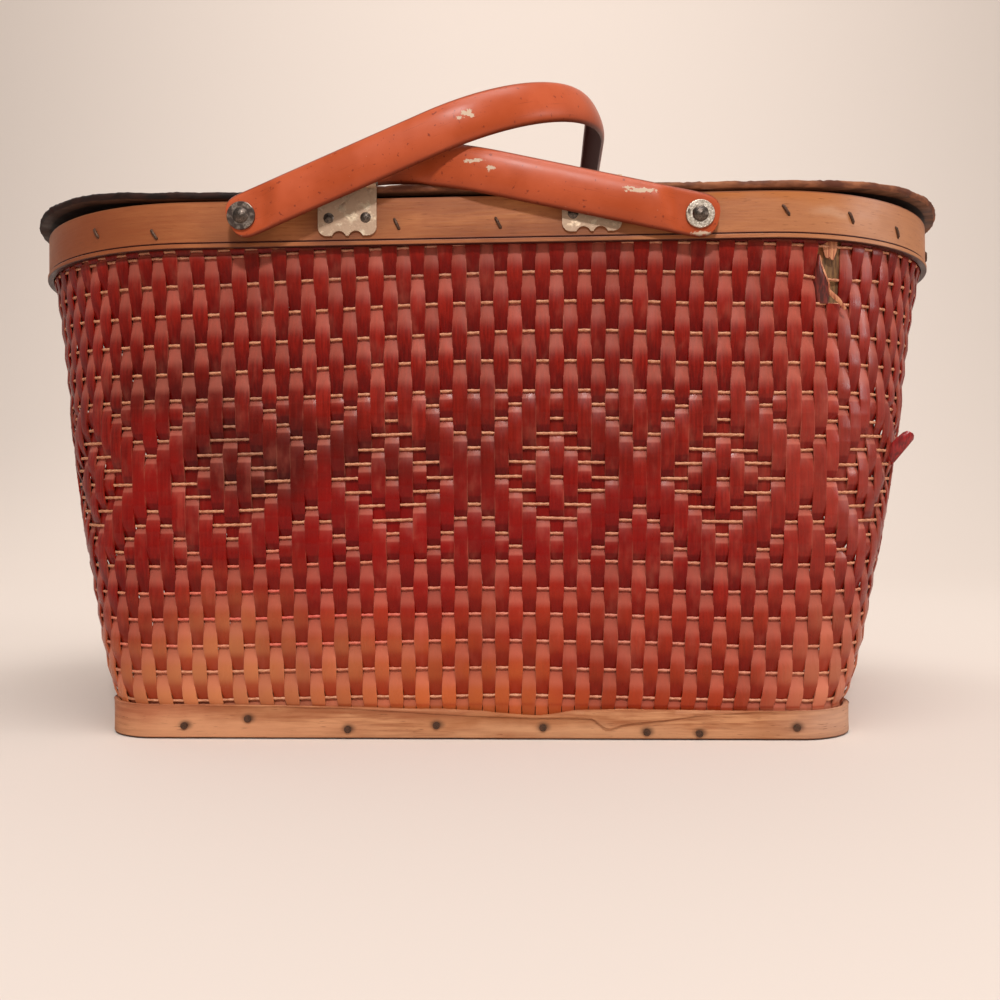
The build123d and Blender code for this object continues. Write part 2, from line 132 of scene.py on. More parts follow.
def lay_over(tree, colour, over, mask, low, high, strength=1.0, blend_type="MIX"):
    """Lays a colour over another where a mask passes from low to high."""
    cover = between(tree, mask, low, high, 0.0, strength)
    return add_node(tree, "Mix", {MIX_FACTOR: cover, MIX_A: colour, MIX_B: over}, MIX_OUT, data_type="RGBA",
                    blend_type=blend_type)


def connect(tree, height, strength, depth, **outputs):
    """Connects a relief, whose depth is in millimetres, and an output for each named input of the shader."""
    outputs["Normal"] = add_node(tree, "Bump", {"Height": height, "Strength": strength, "Distance": depth * MM})
    for socket, output in outputs.items():
        tree.links.new(output, tree.nodes["Principled BSDF"].inputs[socket.replace("_", " ")])


print("helpers ready: red enamel is", [round(c, 3) for c in hex_colour("#C4593A")])

# %% [markdown]
# ## Helpers for meshes
# Nearly every piece here is a section carried along a path: a stake, a weaver, a bent band, a handle. So one
# function joins rings of points with faces, and one makes the object and hangs it on its body. The wall, bands
# and lid are rounded rectangles, so one function walks round such a plan.

# %% Mesh helpers
def clamp(value, low=0.0, high=1.0):
    """A value kept between two others."""
    return min(max(value, low), high)


def mix(first, second, share):
    """A value that goes from the first to the second as the share goes from 0 to 1."""
    return first * (1 - share) + second * share


def ease(share):
    """A share kept between 0 and 1, with a soft start and end."""
    share = clamp(share)
    return share * share * (3 - 2 * share)


def from_places(places, distance):
    """A value read along a list of (distance, value) pairs, held at its ends."""
    if distance <= places[0][0]:
        return places[0][1]
    for (start, low), (end, high) in zip(places, places[1:]):
        if distance <= end:
            return low + (high - low) * (distance - start) / (end - start)
    return places[-1][1]


def ring_faces(ring_count, ring_size, first=0, closed=False):
    """Faces that join rings of points in order, with capped ends unless the last ring joins the first."""
    rings = [[first + ring * ring_size + step for step in range(ring_size)] for ring in range(ring_count)]
    pairs = zip(rings, rings[1:] + rings[:1] if closed else rings[1:])
    faces = [face for here, there in pairs for face in zip(here, here[1:] + here[:1], there[1:] + there[:1], there)]
    return faces if closed else [*faces, rings[0][::-1], rings[-1]]


def make_piece(name, points, faces, material, body="basket", attributes=None, sharp=60):
    """A smooth piece that rides on a body, from points in millimetres. Attributes hold a number for each point."""
    mesh = bpy.data.meshes.new(name)
    mesh.from_pydata([(x * MM, y * MM, z * MM) for x, y, z in points], [], faces)
    mesh.update()
    for attribute, values in (attributes or {}).items():
        mesh.attributes.new(attribute, "FLOAT", "POINT").data.foreach_set("value", values)
    shaped = bmesh.new()
    shaped.from_mesh(mesh)
    bmesh.ops.recalc_face_normals(shaped, faces=shaped.faces)
    shaped.to_mesh(mesh)
    shaped.free()
    mesh.shade_smooth()
    mesh.set_sharp_from_angle(angle=radians(sharp))
    piece = bpy.data.objects.new(name, mesh)
    scene.collection.objects.link(piece)
    mesh.materials.append(material)
    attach(piece, body)
    print(name, "has", len(faces), "faces")
    return piece


def plan_length(half_length, half_depth, radius):
    """The distance right round a rounded rectangle."""
    return 4 * (half_length - radius) + 4 * (half_depth - radius) + 2 * pi * radius


def plan(half_length, half_depth, radius, distance):
    """x, y and outward direction at a distance round a rounded rectangle, from the middle of its back."""
    total = plan_length(half_length, half_depth, radius)
    distance = (distance + total / 2) % total - total / 2
    side = -1.0 if distance < 0 else 1.0
    # half of the way round is a straight, a bend, an end, another bend and another straight
    lengths = (half_length - radius, pi / 2 * radius, 2 * (half_depth - radius), pi / 2 * radius)
    left, gone = abs(distance), []
    for length in lengths:
        gone.append(clamp(left, 0.0, length))
        left = max(left - length, 0.0)
    first, second = gone[1] / radius, gone[3] / radius
    x = gone[0] + radius * (sin(first) + cos(second) - 1) - left
    y = gone[2] + radius * (sin(second) - cos(first) + 1) - half_depth
    return x * side, y, sin(first + second) * side, -cos(first + second)


print("a 2 mm square of 0.5 mm corners is", round(plan_length(1, 1, 0.5), 2), "mm round")

# %% [markdown]
# ## Floor and light
# The photograph has a small lamp high in front, which throws the handle's shadow on the hinge, and soft light
# from the ceiling. Here one small soft lamp stands high above the camera and a wide one hangs overhead. Weaker
# ones light the right end and the back, a large one lights the backdrop, and a pale even world keeps the shaded
# side readable. The floor is a pale sheet that curves up behind, as in a studio, so the photograph's viewpoint
# sees no horizon. It isn't part of the basket.

# %% Floor and light
FLOOR_WIDTH = 9.0
FLOOR_FRONT, FLOOR_BACK = -3.5, 0.9
# the sheet lies a hair lower than the basket's foot
FLOOR_HEIGHT = -0.0002
BACKDROP_BEND, BACKDROP_TOP = 2.2, 4.0
BEND_STEPS = 16
WORLD_LEVEL = 0.34
# each lamp has a place, a target, a size in metres and a power in watts
LAMPS = {
    "key_lamp": ((0.12, -1.4, 1.45), (0.0, -0.1, 0.15), 0.17, 20.5),
    "ceiling_lamp": ((0.3, -0.5, 1.9), (0.0, -0.1, 0.15), 1.0, 17.0),
    "right_lamp": ((1.5, -0.38, 0.62), (0.2, -0.1, 0.15), 0.28, 4.6),
    "back_lamp": ((-1.2, 0.9, 1.4), (0.0, 0.0, 0.15), 1.0, 4.0),
    "backdrop_lamp": ((0.0, 0.5, 2.9), (0.0, 3.1, 2.3), 3.0, 92.0),
}

profile = [(FLOOR_FRONT, 0.0)]
for step in range(BEND_STEPS + 1):
    turn = pi / 2 * step / BEND_STEPS
    profile.append((FLOOR_BACK + BACKDROP_BEND * sin(turn), BACKDROP_BEND * (1 - cos(turn))))
profile.append((FLOOR_BACK + BACKDROP_BEND, BACKDROP_TOP))
floor_points = [(side * FLOOR_WIDTH / 2, y, z + FLOOR_HEIGHT) for y, z in profile for side in (-1, 1)]
floor_faces = [(2 * i, 2 * i + 1, 2 * i + 3, 2 * i + 2) for i in range(len(profile) - 1)]
floor_mesh = bpy.data.meshes.new("floor")
floor_mesh.from_pydata(floor_points, [], floor_faces)
floor_mesh.shade_smooth()
floor = bpy.data.objects.new("floor", floor_mesh)
scene.collection.objects.link(floor)
floor_mesh.materials.append(new_material("pale_paper", Base_Color=hex_colour("#D8C9BE"), Roughness=0.85)[0])

for name, (place, target, size, watts) in LAMPS.items():
    lamp = bpy.data.objects.new(name, bpy.data.lights.new(name, "AREA"))
    lamp.data.size = size
    lamp.data.energy = watts
    lamp.location = place
    lamp.rotation_euler = (Vector(target) - Vector(place)).to_track_quat("-Z", "Y").to_euler()
    scene.collection.objects.link(lamp)
world = bpy.data.worlds.new("soft_world")
scene.world = world
world.use_nodes = True
sky = world.node_tree.nodes["Background"].inputs
sky["Color"].default_value = hex_colour("#F2EEE8")
sky["Strength"].default_value = WORLD_LEVEL
scene.view_settings.view_transform = "Standard"
print(len(LAMPS), "soft lamps and a world at", WORLD_LEVEL)

# %% [markdown]
# ## Dyed splint and twisted weavers
# The stakes are thin ash splint, dyed brick red and varnished long ago. The dye sits in the grain, so long
# fibres show, the varnish is worn to a soft sheen, and the cut edges are rubbed bare. Smoke has darkened one
# patch and the foot has bleached to the colour of the wood. A single colour would look like plastic, so the
# dye is built in layers: fibres, a tone for each stake, soft stains placed one by one, and rubbed edges.

# %% Stains
# each stain has a place and a reach in millimetres, a colour and a strength
SPLINT_STAINS = (
    ((185, -110, 130), (60, 90, 130), "#93382C", 0.6),
    ((0, -128, 225), (280, 120, 40), "#861F14", 0.5),
    ((10, -128, 140), (150, 80, 46), "#741407", 0.5),
    ((-150, -128, 168), (50, 90, 28), "#560D06", 0.75),
    ((-105, -128, 134), (66, 80, 24), "#4C0A05", 0.85),
    ((-40, -128, 126), (56, 80, 24), "#580C06", 0.7),
    ((-162, -128, 120), (30, 60, 34), "#96100C", 0.7),
    ((-20, -128, 94), (180, 80, 34), "#840706", 0.85),
    ((-20, -128, 60), (210, 90, 24), "#981E0E", 0.7),
    ((20, -128, 5), (260, 110, 55), "#A43C1C", 0.95),
    ((-138, -126, 5), (130, 90, 60), "#C4764A", 1.0),
    ((-8, -128, 0), (66, 60, 48), "#C26230", 0.85),
    ((188, -115, 5), (56, 90, 54), "#C07456", 0.95),
    ((60, 128, 30), (140, 80, 34), "#B0502E", 0.8),
    ((-90, 128, 170), (80, 80, 40), "#5E140C", 0.6),
    ((230, 20, 50), (70, 90, 50), "#AC5034", 0.6),
    ((-230, 10, 150), (60, 80, 50), "#641710", 0.6),
)
WEAVER_STAINS = (
    ((-90, -128, 60), (130, 90, 32), "#DB5448", 0.85),
    ((90, -128, 60), (110, 90, 44), "#C9685A", 0.6),
    ((-40, -128, 235), (190, 60, 16), "#9A5A4C", 0.6),
    ((-120, -128, 150), (60, 70, 26), "#7A4A38", 0.6),
)
# a stain fades from the first share of its reach to the second
STAIN_EDGE = (1.35, 0.1)
# slow noise moves a stain's edge by up to half the drift, in metres, unless its reach is small
DRIFT_SCALE = 28.0
SPLINT_DRIFT = 0.06
SMALL_STAIN = 9.0


def reaches_away(tree, place, centre, reach):
    """How far a place is from a centre, in reaches, both in millimetres."""
    scaled = add_node(tree, "Mapping", {"Vector": place, "Location": [c * MM for c in centre],
                                        "Scale": [r * MM for r in reach]}, vector_type="TEXTURE")
    return add_node(tree, "VectorMath", {0: scaled}, "Value", operation="LENGTH")


def wandering_place(tree, place, drift):
    """A place shifted by slow noise, as far as the drift says in metres."""
    slow = add_node(tree, "TexNoise", {"Vector": place, "Scale": DRIFT_SCALE, "Detail": 4.0}, "Color")
    centred = add_node(tree, "VectorMath", {0: slow, 1: (0.5, 0.5, 0.5)}, operation="SUBTRACT")
    return add_node(tree, "VectorMath", {0: centred, 1: [drift] * 3, 2: place}, operation="MULTIPLY_ADD")


def stained(tree, place, drift, colour, stains):
    """A colour under soft stains, whose edges are ragged unless they are small."""
    moved = wandering_place(tree, place, drift) if stains else place
    for centre, reach, stain_colour, strength in stains:
        far = reaches_away(tree, moved if max(reach) > SMALL_STAIN else place, centre, reach)
        colour = lay_over(tree, colour, stain_colour, far, *STAIN_EDGE, strength)
    return colour


print(len(SPLINT_STAINS), "stains on the stakes and", len(WEAVER_STAINS), "on the weavers")

# %% Finishes of the weave
def dyed_ash_splint():
    """Ash splint, dyed and varnished: long fibres, worn sheen, rubbed edges, and painted light and shade on each facet
    by the way it faces.
    """
    material, tree = new_material("dyed_ash_splint", Specular_IOR_Level=0.16)
    place = add_node(tree, "TexCoord", out="Object")
    facing, tone, across = (add_node(tree, "Attribute", out="Fac", attribute_name=name)
                            for name in ("facing", "tone", "across"))
    # ash fibres are about 0.3 mm wide, drawn at 1 mm so that they show
    fibres = stretched_noise(tree, place, (900, 900, 45))
    mottle = stretched_noise(tree, place, (130, 130, 60), detail=3.0)
    colour = lay_over(tree, "#6A0D06", "#8A190E", fibres, 0.35, 0.68)
    colour = stained(tree, place, SPLINT_DRIFT, colour, SPLINT_STAINS)
    # painted light and shade: facets that face down are painted darker, and those that face up are painted paler and
    # pinker as painted light and sheen
    colour = lay_over(tree, colour, "#D48A7A", facing, 0.5, 0.0, blend_type="MULTIPLY")
    colour = lay_over(tree, colour, "#CC7864", facing, 0.45, 1.0, 0.42)
    colour = lay_over(tree, colour, "#BC6450", mottle, 0.5, 0.8, 0.22)
    bright = add_node(tree, "MapRange", {"Value": tone, "To Min": 0.86, "To Max": 1.14})
    colour = add_node(tree, "HueSaturation", {"Color": colour, "Value": bright})
    rubbed = lay_over(tree, colour, "#C98468", mottle, 0.42, 0.6, 0.15)
    colour = lay_over(tree, colour, rubbed, across, 0.86, 1.0)
    connect(tree, fibres, 0.35, 0.25, Base_Color=colour, Roughness=between(tree, mottle, 0.3, 0.7, 0.24, 0.42))
    return material


def fibrous(name, stretch, colours, edges, relief, stains=(), **values):
    """Plain fibres in two tones, with a fine relief: twisted cord or bare splint."""
    material, tree = new_material(name, **values)
    place = add_node(tree, "TexCoord", out="Object")
    fibres = stretched_noise(tree, place, stretch)
    colour = stained(tree, place, SPLINT_DRIFT, lay_over(tree, *colours, fibres, *edges), stains)
    connect(tree, fibres, 0.4, relief, Base_Color=colour)
    return material


splint_finish = dyed_ash_splint()
# tan cord with a little of the dye on it, redder near the foot
weaver_finish = fibrous("twisted_weaver", (500, 500, 900), ("#B66E4A", "#DA9872"), (0.3, 0.7), 0.2, WEAVER_STAINS,
                        Roughness=0.55)
print("finishes:", splint_finish.name, weaver_finish.name)

# %% [markdown]
# ## The order of the weave
# Each weaver runs over one stake and under the next, and the rows take turns, which gives the upper and lower
# checks. Between them the weavers skip stakes in a set order, and the long floats that are left draw a chain
# of diamonds, twelve stakes to a diamond. The order is a traditional one and is written here as the stakes,
# counted from a diamond's middle, that lie under the weaver in each row.

# %% Weave order and heights
STAKE_COUNT = 192
DIAMOND_STAKES = 12
# heights in millimetres at the middle of the back, from the rim down
ROW_HEIGHTS = (242.4, 239.0, 224.9, 210.6, 196.0, 181.7, 167.6, 161.1, 154.1, 147.1, 140.0, 133.3, 126.2, 119.5,
               112.5, 105.7, 98.9, 92.2, 85.4, 72.3, 59.6, 46.6, 33.6, 20.3)
MIDDLE_ROW = 12
DIAMOND = {0: (0, 3, 4), 1: (2, 3), 2: (1, 2, 6), 3: (0, 1, 5), 4: (0, 4), 5: (3,)}
ROW_SAG = 1.3
ROW_WAVES = 4
ROW_JITTER = 0.8
WANDER_TURNS, WANDER_ROWS = 4.0, 1.7
# the upper rows of the back dip and climb, and the row at the break hangs: (stake, reach in stakes, height)
UPPER_BENDS = ((-19, 14, -1.9), (10, 7, 1.1))
TORN_ROW, TORN_BEND = 2, (26, 3, -2.4)
UPPER_FROM, UPPER_FADE = 150.0, 40.0


def weaver_is_over(stake, row):
    """True where the weaver of a row, counted from 0 at the rim, lies over a stake."""
    from_middle = abs(row - MIDDLE_ROW)
    if from_middle in DIAMOND:
        place = stake % DIAMOND_STAKES - DIAMOND_STAKES // 2
        return abs(place) in DIAMOND[from_middle]
    return (stake + row) % 2 == 0


def row_height(row, stake):
    """The height of a weaver at a stake. The rows sag a little each side of the middle, and wander."""
    angle = 2 * pi * stake / STAKE_COUNT
    sag = ROW_SAG * (1 - cos(ROW_WAVES * angle))
    spot = Vector((WANDER_TURNS * cos(angle), WANDER_TURNS * sin(angle), row * WANDER_ROWS))
    place = (stake + STAKE_COUNT / 2) % STAKE_COUNT - STAKE_COUNT / 2
    upper = clamp((ROW_HEIGHTS[row] - UPPER_FROM) / UPPER_FADE)
    bends = [(centre, reach, rise * upper) for centre, reach, rise in UPPER_BENDS]
    bends += [TORN_BEND] if row == TORN_ROW else []
    bend = sum(rise * exp(-((place - centre) / reach) ** 2) for centre, reach, rise in bends)
    return ROW_HEIGHTS[row] - sag + ROW_JITTER * noise.noise(spot) + bend


over_count = sum(weaver_is_over(stake, row) for stake in range(STAKE_COUNT) for row in range(len(ROW_HEIGHTS)))
print("weavers show over", over_count, "of", STAKE_COUNT * len(ROW_HEIGHTS), "crossings")

# %% [markdown]
# ## The flared wall
# The wall is a rounded rectangle at every height. Its ends lean out and its corners open from a tight bend at
# the foot to a wide one at the rim. The stakes keep their places round the wall, so they fan out as it widens.
# Stakes and weavers bend about one middle surface, and this function finds it.

# %% Wall surface
WALL_FOOT, WALL_TOP = 15.5, 237.5
# (height, outer size)
HALF_LENGTHS = ((WALL_FOOT, 182.4), (22.0, 187.5), (45.0, 196.0), (90.0, 209.5), (150.0, 225.5), (200.0, 237.5),
                (218.0, 242.2), (WALL_TOP, 247.6))
HALF_DEPTHS = ((WALL_FOOT, 128.2), (22.0, 128.1), (45.0, 127.9), (90.0, 127.5), (150.0, 127.1), (200.0, 126.8),
               (218.0, 126.9), (WALL_TOP, 127.9))
CORNER_RADII = ((WALL_FOOT, 27.0), (WALL_TOP, 109.0))
# the middle surface lies this far inside the outer one
WALL_MIDDLE = 1.45
# how far the first stake stands from the middle of the back
FIRST_STAKE = 1.1
# at the foot the stakes stand this share further apart in the middle of the long sides, and closer at the ends
END_CROWDING = 0.03


def wall_size(height):
    """Half-length, half-depth and corner radius of the wall's middle surface at a height."""
    return [from_places(sizes, height) - WALL_MIDDLE for sizes in (HALF_LENGTHS, HALF_DEPTHS, CORNER_RADII)]


def stake_pitch(height):
    """The distance from one stake's middle to the next at a height."""
    return plan_length(*wall_size(height)) / STAKE_COUNT


def wall_place(stake, height):
    """x, y and outward direction of the wall at a stake, which may be a fraction."""
    climb = clamp((height - WALL_FOOT) / (WALL_TOP - WALL_FOOT))
    crowding = END_CROWDING * (1 - climb) * sin(4 * pi * stake / STAKE_COUNT) / (4 * pi)
    return plan(*wall_size(height), FIRST_STAKE + (stake + crowding * STAKE_COUNT) * stake_pitch(height))


print("stake pitch", round(stake_pitch(20), 2), "mm at the foot and", round(stake_pitch(230), 2), "mm at the rim")

# %% [markdown]
# ## Stakes
# A stake is a flat strip about a millimetre thick. It leans out over one weaver and back under the next, so it
# is a row of flat facets with soft ridges, and light from above falls on every other facet. It could be a
# texture on a plain wall, but then the edge of the basket and its inside would be flat. So each stake is a
# strip of real facets, widest at its ridges and drawn in where a weaver holds it down.
# Each facet's colour is also painted lighter or darker by the way it faces, as painted light and shade.

# %% Run of a stake
STAKE_THICK = 0.85
STAKE_SWING = 1.1
# an open ridge is rounded over the first reach and a held one over the second, but over no more than a share
# of the facet, and its crest is drawn in by the last share
OPEN_REACH, HELD_REACH, MOST_REACH = 2.6, 0.5, 0.36
RIDGE_ROUNDING = 0.4
# the width of a stake where it lies over or under a weaver, by how many of its two neighbours do the same
OVER_WIDTHS = (1.13, 1.07, 1.015)
UNDER_WIDTHS = (0.895, 0.955, 1.015)
BETWEEN_WIDTH = 1.035
FLOAT_BULGE = 0.25
# a facet as steep as this faces up or down fully, and near an open ridge and in its middle a facet keeps these
# shares of its steepness, and the way it faces sets the painted light and shade of its colour
STEEP_FACET = 0.14
RIDGE_SHARE, MIDDLE_SHARE = 0.1, 0.6
# a stake arches out this far between two crossings
ARCH = 0.14
# (height, depth, width share) below the lowest weaver and above the highest
STAKE_FOOT = [(3.0, 0.0, 0.94), (12.0, 0.25, 0.95)]
STAKE_TOP = [(246.0, -0.8, 0.96), (257.0, -0.8, 0.96)]


def stake_at_row(stake, row):
    """(height, depth, width share) of a stake where it crosses a weaver."""
    held = weaver_is_over(stake, row)
    alike = sum(weaver_is_over(neighbour, row) == held for neighbour in (stake - 1, stake + 1))
    if held:
        return row_height(row, stake), -STAKE_SWING, UNDER_WIDTHS[alike]
    floating = sum(0 <= near < len(ROW_HEIGHTS) and not weaver_is_over(stake, near) for near in (row - 1, row + 1))
    return row_height(row, stake), STAKE_SWING + FLOAT_BULGE * floating / 2, OVER_WIDTHS[alike]


def stake_stations(stake):
    """(height, depth, width share, facing) up a stake, with three stations at each ridge and one between."""
    marks = STAKE_FOOT + [stake_at_row(stake, row) for row in reversed(range(len(ROW_HEIGHTS)))] + STAKE_TOP
    steepness = [(here[1] - after[1]) / (after[0] - here[0]) / STEEP_FACET / 2 for here, after in zip(marks, marks[1:])]
    stations = [(*marks[0], 0.5 + steepness[0])]
    for number in range(1, len(marks) - 1):
        before, here, after = marks[number - 1:number + 2]
        share, reach = (RIDGE_SHARE, OPEN_REACH) if here[1] > 0 else (1.0, HELD_REACH)
        below, above = (0.5 + steepness[side] * share for side in (number - 1, number))
        down = min(reach / (here[0] - before[0]), MOST_REACH)
        up = min(reach / (after[0] - here[0]), MOST_REACH)
        lower = [mix(a, b, down) for a, b in zip(here, before)]
        upper = [mix(a, b, up) for a, b in zip(here, after)]
        crest = mix(here[1], (lower[1] + upper[1]) / 2, RIDGE_ROUNDING)
        height, depth, width = ((a + b) / 2 for a, b in zip(here, after))
        stations += [(*lower, below), (here[0], crest, here[2], (below + above) / 2), (*upper, above),
                     (height, depth + ARCH, max(width, BETWEEN_WIDTH), 0.5 + steepness[number] * MIDDLE_SHARE)]
    return stations + [(*marks[-1], 0.5 + steepness[-1])]


print("a stake has", len(stake_stations(0)), "stations")

# %% Stakes
STAKE_CROWN = 0.3
STAKE_FRONT = (-1.0, -0.88, 0.0, 0.88, 1.0)
STAKE_BACK = (1.0, 0.0, -1.0)
# two stakes are gone between these heights
BROKEN_STAKES = {25: (209.2, 236.0), 26: (209.2, 260.0)}
WHOLE_STAKE = (inf, inf)
# the first stake on each side, counted from the middle of the back
STAKE_SIDES = {"back": -24, "right": 24, "front": 72, "left": 120}


def stake_ring(stake, height, depth, width_share):
    """The points round a stake's section at a height."""
    x, y, nx, ny = wall_place(stake, height)
    half_width = stake_pitch(height) / 2 * width_share
    ring = []
    for face, steps in ((0.5, STAKE_FRONT), (-0.5, STAKE_BACK)):
        for across in steps:
            out = depth + face * STAKE_THICK - STAKE_CROWN * across * across
            side = across * half_width
            ring.append((x + nx * out - ny * side, y + ny * out + nx * side, height))
    return ring


def make_stakes(side, first):
    """A quarter of the stakes as one piece, with a tone, a place across and a facing for each point. The facing sets
    the painted light and shade of the splint's colour.
    """
    points, faces, tones, across, facings = [], [], [], [], []
    ring_across = [abs(step) for step in STAKE_FRONT + STAKE_BACK]
    for stake in range(first, first + STAKE_COUNT // 4):
        stations = stake_stations(stake)
        gap_low, gap_high = BROKEN_STAKES.get(stake, WHOLE_STAKE)
        tone = rng.random()
        for run in ([s for s in stations if s[0] < gap_low], [s for s in stations if s[0] > gap_high]):
            if len(run) < 2:
                continue
            faces += ring_faces(len(run), len(ring_across), len(points))
            for height, depth, width_share, facing in run:
                points += stake_ring(stake, height, depth, width_share)
                tones += [tone] * len(ring_across)
                across += ring_across
                facings += [clamp(facing)] * len(ring_across)
    return make_piece(f"stakes_{side}", points, faces, splint_finish,
                      attributes={"tone": tones, "across": across, "facing": facings})


stake_groups = [make_stakes(side, first) for side, first in STAKE_SIDES.items()]
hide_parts("woven_body")

# %% [markdown]
# ## Weavers
# A weaver is two plies twisted together, 1.5 mm thick, and it stays nearly straight while the stakes bend
# round it. A round tube would hide the twist, so its section is a slight oval that turns as it runs.

# %% Weavers
WEAVER_WIDE, WEAVER_THIN = 0.84, 0.68
WEAVER_SWING = 0.3
WEAVER_STEPS = 6
WEAVER_SIDES = 6
TWIST_LENGTH = 8.5
# the rows of each piece, from the rim down
WEAVER_GROUPS = {"upper": range(8), "middle": range(8, 16), "lower": range(16, 24)}


def weaver_rings(row):
    """The points of the weaver of one row, right round the basket."""
    count = STAKE_COUNT * WEAVER_STEPS
    turns = round(plan_length(*wall_size(ROW_HEIGHTS[row])) / TWIST_LENGTH)
    phase = rng.random() * pi
    depths = [WEAVER_SWING if weaver_is_over(stake, row) else -WEAVER_SWING for stake in range(STAKE_COUNT + 1)]
    points = []
    for number in range(count):
        stake = number / WEAVER_STEPS
        height = row_height(row, stake)
        x, y, nx, ny = wall_place(stake, height)
        before = int(stake)
        out = mix(depths[before], depths[before + 1], ease(stake - before))
        twist = phase + pi * turns * number / count * 2
        for side in range(WEAVER_SIDES):
            angle = 2 * pi * side / WEAVER_SIDES
            wide, thin = WEAVER_WIDE * cos(angle), WEAVER_THIN * sin(angle)
            reach = out + wide * cos(twist) - thin * sin(twist)
            points.append((x + nx * reach, y + ny * reach, height + wide * sin(twist) + thin * cos(twist)))
    return points


for part, rows in WEAVER_GROUPS.items():
    points, faces = [], []
    for row in rows:
        faces += ring_faces(STAKE_COUNT * WEAVER_STEPS, WEAVER_SIDES, len(points), closed=True)
        points += weaver_rings(row)
    make_piece(f"weavers_{part}", points, faces, weaver_finish, sharp=180)

# %% [markdown]
# ## Wood of the rim, skirt and lid
# The rim is a steam-bent strip of ash under old amber varnish, darker where hands and hinges rubbed rust into
# it. The skirt is the same wood, bare and weathered. Grain runs along a bent strip, so it is drawn from noise
# that changes fast up the strip and slowly along it, which works round the curved ends too.

# %% Stains of the wood
RIM_STAINS = (
    ((-200, -110, 250), (100, 70, 30), "#864220", 0.95),
    ((-60, -131, 252), (26, 20, 15), "#562813", 0.8),
    ((-20, -131, 257), (34, 20, 7), "#8A4A2C", 0.6),
    ((10, -131, 243), (60, 20, 7), "#7C3C1A", 0.7),
    ((62, -131, 250), (26, 20, 15), "#6A381C", 0.7),
    ((-112, -131, 243), (22, 20, 9), "#6C3A1C", 0.6),
    ((135, -131, 261.0), (70, 30, 3.4), "#B2621A", 0.95),
    ((173, -125, 254.4), (9, 14, 3), "#DDB596", 0.6),
    ((182, -125, 252.6), (7, 14, 2.4), "#DDB596", 0.55),
    ((142, -131, 249), (56, 20, 14), "#9E5E38", 0.5),
    ((200, -105, 247), (80, 60, 30), "#AE7650", 0.7),
)
# rust has run from each nail, given as x and height
NAIL_PLACES = ((-139.6, 6.6), (-108.6, 9.9), (-60.0, 5.0), (-17.2, 7.0), (33.8, 6.0), (83.0, 4.0), (107.9, 3.4),
               (153.6, 6.4))
SKIRT_STAINS = (
    ((-160, -126, 14), (44, 60, 8), "#AE6040", 0.7),
    ((-130, -131, 3), (90, 20, 9), "#DA9A70", 0.9),
    ((-30, -131, 14), (120, 20, 4), "#9A5430", 0.7),
    ((60, -131, 2), (120, 20, 5), "#D29A70", 0.7),
    ((20, -131, 8), (50, 20, 5), "#A05E34", 0.6),
    ((175, -120, 8), (30, 50, 12), "#C79A80", 0.7),
    *(((x, -131, z), (3.6, 8, 2.5), "#3E2012", 0.85) for x, z in NAIL_PLACES),
)
# darker level lines, each a height, a half-width and a colour: the groove above the rim's bead, its top and
# lower edges, and the foot of the skirt. The line along the rim's lower edge is painted shade under the bead
RIM_LINES_WITH_SHADE = ((240.9, 0.8, "#4E1408"), (261.2, 1.1, "#8A4E2C"), (237.9, 1.0, "#3A120A"))
SKIRT_LINES = ((0.2, 0.9, "#6A3A22"),)
LINE_EDGE = (1.0, 0.3)
# a line runs right round, so it reaches this far sideways
EVERYWHERE = 1e6
print(len(RIM_STAINS), "stains on the rim and", len(SKIRT_STAINS), "on the skirt")

# %% Finishes of the wood
WOOD_DRIFT = 0.016
FLECK_STRETCH = 2.6


def bent_wood(name, grain, colours, blotch_colour, fleck, roughness, stains=(), lines=()):
    """Bent wood: grain streaks, slow blotches, stains by place, darker level lines such as painted shade under the
    rim's bead, and dark flecks in the grain.
    """
    material, tree = new_material(name, Specular_IOR_Level=0.35)
    place = add_node(tree, "TexCoord", out="Object")
    streaks = stretched_noise(tree, place, grain)
    blotches = stretched_noise(tree, place, (28, 28, 46), detail=4.0)
    flecks = stretched_noise(tree, place, [g * FLECK_STRETCH for g in grain], detail=2.0)
    colour = lay_over(tree, *colours, streaks, 0.32, 0.68)
    colour = lay_over(tree, colour, blotch_colour, blotches, 0.45, 0.72, 0.55)
    colour = stained(tree, place, WOOD_DRIFT, colour, stains)
    for height, half_width, line_colour in lines:
        far = reaches_away(tree, place, (0, 0, height), (EVERYWHERE, EVERYWHERE, half_width))
        colour = lay_over(tree, colour, line_colour, far, *LINE_EDGE)
    colour = lay_over(tree, colour, fleck, flecks, 0.64, 0.74, 0.75)
    connect(tree, streaks, 0.35, 0.3, Base_Color=colour, Roughness=between(tree, blotches, 0.3, 0.7, *roughness))
    return material


varnished_ash = bent_wood("varnished_bent_ash", (60, 60, 800), ("#A86238", "#BA7444"), "#904E28", "#74401F",
                          (0.38, 0.52), RIM_STAINS, RIM_LINES_WITH_SHADE)
bare_ash = bent_wood("bare_bent_ash", (50, 50, 700), ("#A0603A", "#CC8E62"), "#A05E38", "#6A3A20", (0.6, 0.78),
                     SKIRT_STAINS, SKIRT_LINES)
sawn_board = bent_wood("sawn_board", (14, 420, 420), ("#9A6E46", "#BC9066"), "#8A5E3C", "#6E4A2E", (0.6, 0.75))
print("woods:", varnished_ash.name, bare_ash.name, sawn_board.name)

# %% [markdown]
# ## Rim bands
# The two rim bands clamp the tops of the stakes between them. Their shape in the frame is already right, with
# the small bead and groove along the lower edge, so they only take the finish.

# %% Rim bands, bottom board and battens
def dress(material, *names):
    """Gives a finish to pieces of the fixed frame."""
    for name in names:
        for place in nodes[name].material_slots:
            place.material = material


dress(varnished_ash, "rim_outer_band", "rim_inner_band")
dress(sawn_board, "base_board", "lid_batten_left", "lid_batten_right")

